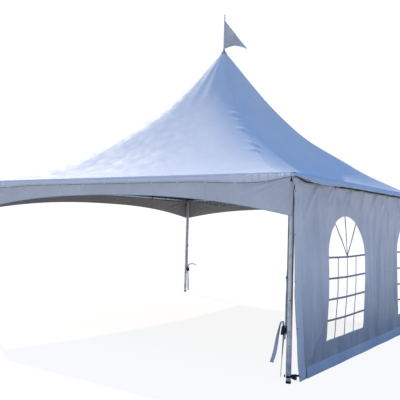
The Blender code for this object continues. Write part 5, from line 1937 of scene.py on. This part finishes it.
@dataclass
class CrossCables(SubAssembly):
    """Wire ropes with laid strands, open turnbuckles and shackles."""

    mast_z: float = 2.146
    mast_reach: float = 0.1162
    corner_z: float = 2.352
    corner_reach: float = 0.1512
    strands: int = 6
    strand_radius: float = 0.00175
    lay: float = 0.085
    steps_per_turn: int = 9

    def build(self) -> None:
        """Make the four cables."""
        for corner in Corner:
            outward = -corner.inward
            low = outward * self.mast_reach + Vector((0.0, 0.0, self.mast_z))
            reach = self.sizes.leg_axis * math.sqrt(2.0) - self.corner_reach
            high = outward * reach + Vector((0.0, 0.0, self.corner_z))
            length = (high - low).length
            stand = aimed(low, high)
            rope = moved(joined(self.rope(0.330, length - 0.060)), stand)
            metal = moved(joined(self.metal(length)), stand)
            label = corner.label
            self.add(f"cable_rope_{label}", rope, (GALVANISED,), Slot.CABLE,
                     (f"cross_cable_{label}",), 60.0)
            self.add(f"cable_fittings_{label}", metal, (GALVANISED,), Slot.CABLE, (), 40.0)

    def rope(self, start: float, end: float) -> Iterable[bmesh.types.BMesh]:
        """Strands laid round the cable's axis, which is Z."""
        turns = (end - start) / self.lay
        columns = round(turns * self.steps_per_turn)
        offset = self.strand_radius * 2.0
        yield bar(Vector((0.0, 0.0, start)), Vector((0.0, 0.0, end)), self.strand_radius, 6)
        for strand in range(self.strands):

            def rule(a: float, b: float, shift: float = math.tau * strand / self.strands) -> Vector:
                share = (a + 1.0) / 2
                angle = math.tau * turns * share + shift
                radial = Vector((math.cos(angle), math.sin(angle), 0.0))
                up = Vector((0.0, 0.0, 1.0))
                ring = radial * math.cos(math.pi * b) + radial.cross(up) * math.sin(math.pi * b)
                middle = radial * offset + up * (start + (end - start) * share)
                return middle + ring * self.strand_radius

            shape = bent(grid(columns, 5), rule)
            bmesh.ops.remove_doubles(shape, verts=shape.verts, dist=1e-6)
            bmesh.ops.recalc_face_normals(shape, faces=shape.faces)
            yield shape

    def metal(self, length: float) -> Iterable[bmesh.types.BMesh]:
        """Jaw, open turnbuckle, swaged ends and far jaw along Z."""
        for foot, sign in ((0.0, 1.0), (length, -1.0)):
            for side in (-1.0, 1.0):
                start = Vector((side * 0.0075, 0.0, foot + sign * 0.001))
                yield bar(start, start + Vector((0.0, 0.0, sign * 0.040)), 0.0032, 12)
            yield block((0.020, 0.014, 0.010), (0.0, 0.0, foot + sign * 0.044), 0.002)
            yield bar(Vector((-0.014, 0.0, foot + sign * 0.008)),
                      Vector((0.014, 0.0, foot + sign * 0.008)), 0.0035, 12)
            neck = foot + sign * 0.047
            yield bar(Vector((0.0, 0.0, neck)), Vector((0.0, 0.0, neck + sign * 0.045)), 0.0055, 16)
        for side in (-1.0, 1.0):
            rod_x = side * 0.0095
            yield bar(Vector((rod_x, 0.0, 0.092)), Vector((rod_x, 0.0, 0.288)), 0.0036, 14)
        for middle in (0.094, 0.286):
            yield block((0.026, 0.017, 0.018), (0.0, 0.0, middle), 0.003, 3)
            yield hex_bolt(Vector((0.0, 0.0, middle + (0.009 if middle > 0.2 else -0.009))),
                           Vector((0.0, 0.0, 1.0 if middle > 0.2 else -1.0)), 0.0085)
        for start, end in ((0.062, 0.160), (0.220, 0.320)):
            thread = [(0.0, start)]
            count = 44
            for k in range(count + 1):
                thread.append((0.0044 + 0.0006 * math.cos(math.pi * k),
                               start + (end - start) * k / count))
            thread.append((0.0, end))
            yield turned(thread, 12)
        yield bar(Vector((0.0, 0.0, 0.315)), Vector((0.0, 0.0, 0.375)), 0.0075, 20)
        yield bar(Vector((0.0, 0.0, length - 0.105)), Vector((0.0, 0.0, length - 0.045)), 0.0075, 20)


@dataclass
class Hardware(SubAssembly):
    """Bolts, plugs, collars and splice bands on the frame."""

    def build(self) -> None:
        """Make the small hardware of the corners, legs, rails and mast."""
        self.add("fitting_bolts", joined(self.fitting_bolts()), (GALVANISED,), Slot.CAST, (), 40.0)
        self.add("leg_plugs", joined(self.plugs()), (ORANGE_PLASTIC,), Slot.LEG)
        self.add("leg_step_collars", joined(self.collars()), (CAST_GREY,), Slot.LEG, (), 40.0)
        self.add("rail_splice_bands", joined(self.splices()), (BLACK_STEEL,), Slot.RAIL, (), 40.0)
        self.add("mast_bolts", joined(self.mast_bolts()), (GALVANISED,), Slot.CAST, (), 40.0)

    def fitting_bolts(self) -> Iterable[bmesh.types.BMesh]:
        """Bolts through every socket of the corner fittings."""
        for corner in Corner:
            sign_x, sign_y = corner.value
            base = self.sizes.place(corner)
            for height in (2.262, 2.302):
                for side in (-1.0, 1.0):
                    outward = Vector((0.0, side, 0.0))
                    yield hex_bolt(base + outward * 0.0345 + Vector((0.0, 0.0, height)), outward,
                                   0.0070)
            for reach in (0.095, 0.160):
                for side in (-1.0, 1.0):
                    up = Vector((0.0, 0.0, side))
                    rail = Vector((0.0, 0.0, self.sizes.rail_z)) + up * 0.035
                    if side < 0.0 or reach > 0.1:
                        yield hex_bolt(base + rail + Vector((-sign_x * reach, 0.0, 0.0)), up,
                                       0.0045)
                        yield hex_bolt(base + rail + Vector((0.0, -sign_y * reach, 0.0)), up,
                                       0.0045)

    def plugs(self) -> Iterable[bmesh.types.BMesh]:
        """Orange plugs in the legs' holes, on the side that faces the front."""
        profile = [(0.0, 0.0032), (0.0050, 0.0030), (0.0072, 0.0018), (0.0078, 0.0), (0.0, -0.001)]
        for corner in Corner:
            heights = (0.943, 0.591, 0.421)
            if corner is Corner.BACK_LEFT:
                heights = (0.66, 0.14)
            for height in heights:
                radius = self.sizes.tube_radius - 0.0002
                facing = Vector((0.50, -0.866, 0.0))
                spot = self.sizes.place(corner, height) + facing * radius
                yield moved(turned(profile, 24), aimed(spot, spot + facing))

    def collars(self) -> Iterable[bmesh.types.BMesh]:
        """Rolled end of each leg tube over its sleeve."""
        radius = self.sizes.tube_radius
        for corner in Corner:
            base = self.sizes.place(corner, self.sizes.leg_step_z)
            profile = [(self.sizes.sleeve_radius - 0.001, 0.0), (radius + 0.0008, 0.0)]
            profile += [(radius + 0.0022, 0.002), (radius + 0.0022, 0.008), (radius + 0.0004, 0.010),
                        (radius - 0.002, 0.010), (self.sizes.sleeve_radius - 0.001, 0.0)]
            yield moved(turned(profile, 40), Matrix.Translation(base))

    def splices(self) -> Iterable[bmesh.types.BMesh]:
        """Two narrow bands on every rail, where its tubes are joined."""
        radius = self.sizes.tube_radius
        profile = [(radius - 0.0005, -0.014), (radius + 0.0022, -0.014), (radius + 0.0028, -0.012),
                   (radius + 0.0028, 0.012), (radius + 0.0022, 0.014), (radius - 0.0005, 0.014),
                   (radius - 0.0005, -0.014)]
        for side in Side:
            for place in (-1.56, 1.56):
                spot = side.turn @ Vector((place, -self.sizes.leg_axis, self.sizes.rail_z))
                ahead = side.turn @ Vector((place + 1.0, -self.sizes.leg_axis, self.sizes.rail_z))
                yield moved(turned(profile, 32), aimed(spot, ahead))

    def mast_bolts(self) -> Iterable[bmesh.types.BMesh]:
        """Bolts through the mast's foot and head."""
        for height in (2.200, 2.232, 4.925):
            for side in (-1.0, 1.0):
                outward = Vector((0.0, side, 0.0))
                yield hex_bolt(outward * 0.0335 + Vector((0.0, 0.0, height)), outward, 0.0070)


@dataclass
class PennantFlag(SubAssembly):
    """Pennant cloth with its hoist sleeve and bound edges."""

    top: float = 5.666
    bottom: float = 5.126
    fly: float = 0.450
    belly: float = 0.064
    turn: float = 35.6
    staff: float = 0.0098
    sleeve: float = 0.0034

    def build(self) -> None:
        """Make the cloth, its sleeve and its bindings."""
        cloth = self.add("pennant_sheet", self.cloth(), (PENNANT_CLOTH,), Slot.PENNANT,
                         ("pennant",), 60.0)
        area = Roof.area(cloth.data)
        self.thicken(cloth, 0.0008)
        trims = [self.add("pennant_sleeve", self.sleeve_shape(), (PENNANT_SLEEVE,), Slot.PENNANT),
                 self.add("pennant_bindings", joined(self.bindings()), (PENNANT_SLEEVE,),
                          Slot.PENNANT)]

    def place(self, share: float, rise: float) -> Vector:
        """Point of the cloth: share of the fly, and rise from the lower to the upper edge."""
        start = self.staff + 0.001
        out = start + (self.fly - start) * share
        upper = self.top + (self.bottom + 0.004 - self.top) * share
        lower = self.bottom + self.belly * math.sin(math.pi * share)
        lower = min(lower, upper - 0.0005)
        height = lower + (upper - lower) * rise
        ripple = 0.012 * share * math.sin(13.0 * share + 2.2 * (height - self.bottom) - 0.6)
        ripple += 0.005 * share * math.sin(27.0 * share - 9.0 * (height - self.bottom))
        angle = math.radians(self.turn)
        return Vector((out * math.cos(angle) - ripple * math.sin(angle),
                       out * math.sin(angle) + ripple * math.cos(angle), height))

    def cloth(self) -> bmesh.types.BMesh:
        """Open rippled cloth."""
        shape = bent(grid(60, 40), lambda a, b: self.place(0.5 * (a + 1.0) * 0.995, 0.5 * (b + 1.0)))
        bmesh.ops.recalc_face_normals(shape, faces=shape.faces)
        return shape

    def sleeve_shape(self) -> bmesh.types.BMesh:
        """Tube of cloth round the staff, a little gathered."""
        profile = [(self.staff, self.bottom)]
        for k in range(61):
            swell = 0.0008 * math.sin(0.9 * k) + 0.0005 * math.sin(2.3 * k)
            profile.append((self.staff + self.sleeve + swell,
                            self.bottom + (self.top - self.bottom) * k / 60))
        profile += [(self.staff, self.top), (self.staff, self.bottom)]
        return turned(profile, 24)

    def bindings(self) -> Iterable[bmesh.types.BMesh]:
        """Narrow folded tapes along the upper and the lower edge."""
        angle = math.radians(self.turn)
        aside = Vector((-math.sin(angle), math.cos(angle), 0.0))
        for near, far in ((1.0, 0.955), (0.0, 0.045)):

            def rule(a: float, b: float, near: float = near, far: float = far) -> Vector:
                share = (a + 1.0) / 2 * 0.97
                edge, inner = self.place(share, near), self.place(share, far)
                flat = (inner - edge).normalized() * 0.012 if (inner - edge).length else aside
                turn = math.pi * b
                return edge + flat * (0.5 - 0.5 * math.cos(turn)) + aside * 0.0016 * math.sin(turn)

            shape = bent(grid(60, 8), rule)
            bmesh.ops.remove_doubles(shape, verts=shape.verts, dist=1e-6)
            ends = [edge for edge in shape.edges if edge.is_boundary]
            bmesh.ops.holes_fill(shape, edges=ends, sides=0)
            bmesh.ops.recalc_face_normals(shape, faces=shape.faces)
            yield shape


@dataclass
class FrameMetal(SubAssembly):
    """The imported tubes, fittings and staff: kept as they are, and given their finishes."""

    finishes: dict[str, Finish] = field(default_factory=lambda: {
        "leg_": LEG_TUBE,
        "foot_cap_": FOOT_RUBBER,
        "corner_fitting_": CAST_GREY,
        "eave_rail_front": RAIL_TUBE_X,
        "eave_rail_back": RAIL_TUBE_X,
        "eave_rail_left": RAIL_TUBE_Y,
        "eave_rail_right": RAIL_TUBE_Y,
        "mast_tube": LEG_TUBE,
        "mast_foot": CAST_GREY,
        "mast_head": CAST_GREY,
        "cross_cable_": GALVANISED,
        "strap_ratchet_": BLACK_STEEL,
        "wall_tie_": STRAP_BLACK,
        "flag_staff": LEG_TUBE,
        "peak_cap": CAP_PLASTIC,
        "pennant": PENNANT_CLOTH,
    })

    def build(self) -> None:
        """Dress every node that still shows."""
        for name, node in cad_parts.items():
            if node.hide_render:
                continue
            for start, finish in self.finishes.items():
                if name.startswith(start):
                    node.data.materials.clear()
                    node.data.materials.append(finish.material())
                    LOG.info("%s: %s", name, finish.name)


@dataclass
class Studio:
    """Pale floor, soft sky light, a low key light from the left, and the camera."""

    lens: float = 51.87
    sensor: float = 36.0
    eye: tuple[float, float, float] = (6.0308, -9.0547, 1.8074)
    yaw: float = 35.641
    pitch: float = 2.2252
    roll: float = 1.6440
    sun_from: tuple[float, float] = (-0.899, 0.438)
    sun_height: float = 36.5
    sun_strength: float = 3.3
    sun_spread: float = 0.8
    floor_size: float = 60.0
    zenith: Colour = (0.25, 0.50, 1.02)
    middle: Colour = (0.06, 0.12, 0.24)
    horizon: Colour = (0.74, 0.71, 0.71)
    near_sun: float = 1.60
    far_from_sun: float = 0.66

    def build(self) -> None:
        """Set up floor, light and camera."""
        self.floor()
        self.sky()
        self.sun()
        self.camera()
        bpy.context.scene.view_settings.view_transform = "Standard"

    def floor(self) -> None:
        """Plain floor: pale to the eye, darker as a reflector, so the ceiling stays dim."""
        shape = bmesh.new()
        bmesh.ops.create_grid(shape, x_segments=4, y_segments=4, size=self.floor_size)
        mesh = bpy.data.meshes.new("floor")
        shape.to_mesh(mesh)
        shape.free()
        floor = bpy.data.objects.new("floor", mesh)
        bpy.context.scene.collection.objects.link(floor)
        sheet = NodeSheet("floor")
        tree = sheet.tree
        path = sheet.add("LightPath").outputs["Is Camera Ray"]
        away = sheet.add("VectorMath", {"operation": "LENGTH"})
        tree.links.new(sheet.place, away.inputs[0])
        bright = sheet.remap(away.outputs["Value"], 6.0, 18.0, 0.93, 1.05)
        glow = sheet.add("Emission", Color=(0.98, 0.98, 0.98, 1.0), Strength=bright)
        pale = sheet.add("BsdfDiffuse", Color=(0.12, 0.115, 0.105, 1.0))
        seen = sheet.add("AddShader")
        tree.links.new(glow.outputs[0], seen.inputs[0])
        tree.links.new(pale.outputs[0], seen.inputs[1])
        lit = sheet.add("BsdfDiffuse", Color=(0.70, 0.66, 0.61, 1.0))
        choice = sheet.add("MixShader")
        tree.links.new(path, choice.inputs[0])
        tree.links.new(lit.outputs[0], choice.inputs[1])
        tree.links.new(seen.outputs[0], choice.inputs[2])
        output = tree.nodes["Material Output"]
        tree.links.new(choice.outputs[0], output.inputs["Surface"])
        mesh.materials.append(sheet.material)

    def sky(self) -> None:
        """White backdrop that lights the tent like a clear sky: blue above, pale low down."""
        world = bpy.data.worlds.new("sky")
        world.use_nodes = True
        tree = world.node_tree
        nodes, links = tree.nodes, tree.links
        coordinate = nodes.new("ShaderNodeTexCoord")
        split = nodes.new("ShaderNodeSeparateXYZ")
        links.new(coordinate.outputs["Generated"], split.inputs[0])
        ramp = nodes.new("ShaderNodeValToRGB")
        ramp.color_ramp.elements[0].position = 0.0
        ramp.color_ramp.elements[0].color = (*self.horizon, 1.0)
        ramp.color_ramp.elements[1].position = 0.85
        ramp.color_ramp.elements[1].color = (*self.zenith, 1.0)
        ramp.color_ramp.elements.new(0.34).color = (*self.middle, 1.0)
        links.new(split.outputs["Z"], ramp.inputs[0])
        light = nodes["Background"]
        links.new(ramp.outputs[0], light.inputs["Color"])
        towards = nodes.new("ShaderNodeVectorMath")
        towards.operation = "DOT_PRODUCT"
        towards.inputs[1].default_value = (*self.sun_from, 0.0)
        links.new(coordinate.outputs["Generated"], towards.inputs[0])
        glow = nodes.new("ShaderNodeMapRange")
        glow.inputs["From Min"].default_value = -1.0
        glow.inputs["To Min"].default_value = self.far_from_sun
        glow.inputs["To Max"].default_value = self.near_sun
        links.new(towards.outputs["Value"], glow.inputs["Value"])
        links.new(glow.outputs["Result"], light.inputs["Strength"])
        white = nodes.new("ShaderNodeBackground")
        white.inputs["Color"].default_value = (1.0, 1.0, 1.0, 1.0)
        white.inputs["Strength"].default_value = 1.05
        path = nodes.new("ShaderNodeLightPath")
        mix = nodes.new("ShaderNodeMixShader")
        links.new(path.outputs["Is Camera Ray"], mix.inputs[0])
        links.new(light.outputs[0], mix.inputs[1])
        links.new(white.outputs[0], mix.inputs[2])
        links.new(mix.outputs[0], nodes["World Output"].inputs["Surface"])
        bpy.context.scene.world = world

    def sun(self) -> None:
        """Key light, low from the left and a little from behind."""
        data = bpy.data.lights.new("key", "SUN")
        data.energy = self.sun_strength
        data.angle = math.radians(self.sun_spread)
        data.color = (1.0, 0.86, 0.65)
        lamp = bpy.data.objects.new("key", data)
        rise = math.radians(self.sun_height)
        towards = Vector((self.sun_from[0] * math.cos(rise), self.sun_from[1] * math.cos(rise),
                          math.sin(rise)))
        lamp.rotation_mode = "QUATERNION"
        lamp.rotation_quaternion = towards.to_track_quat("Z", "Y")
        bpy.context.scene.collection.objects.link(lamp)

    def camera(self) -> None:
        """Camera at the photograph's viewing angle."""
        data = bpy.data.cameras.new("camera")
        data.lens = self.lens
        data.sensor_width = self.sensor
        data.clip_end = 200.0
        yaw, pitch, roll = (math.radians(a) for a in (self.yaw, self.pitch, self.roll))
        forward = Vector((-math.sin(yaw) * math.cos(pitch), math.cos(yaw) * math.cos(pitch),
                          math.sin(pitch)))
        level = Vector((math.cos(yaw), math.sin(yaw), 0.0))
        upright = level.cross(forward)
        right = math.cos(roll) * level + math.sin(roll) * upright
        top = math.cos(roll) * upright - math.sin(roll) * level
        camera = bpy.data.objects.new("camera", data)
        turn = Matrix((right, top, -forward)).transposed().to_4x4()
        camera.matrix_world = Matrix.Translation(Vector(self.eye)) @ turn
        bpy.context.scene.collection.objects.link(camera)
        bpy.context.scene.camera = camera


def main() -> None:
    """Build every sub-assembly in order, then light it."""
    logging.basicConfig(level=logging.INFO, format="%(message)s")
    sizes = Sizes.from_frame()
    for group in (Roof(sizes), Valances(sizes), SideWall(sizes), LegStraps(sizes),
                  Ratchets(sizes), WallTies(sizes), CrossCables(sizes), Hardware(sizes),
                  PennantFlag(sizes), FrameMetal(sizes), Studio()):
        LOG.info("building %s", type(group).__name__)
        group.build()


if __name__ == "__main__":
    main()
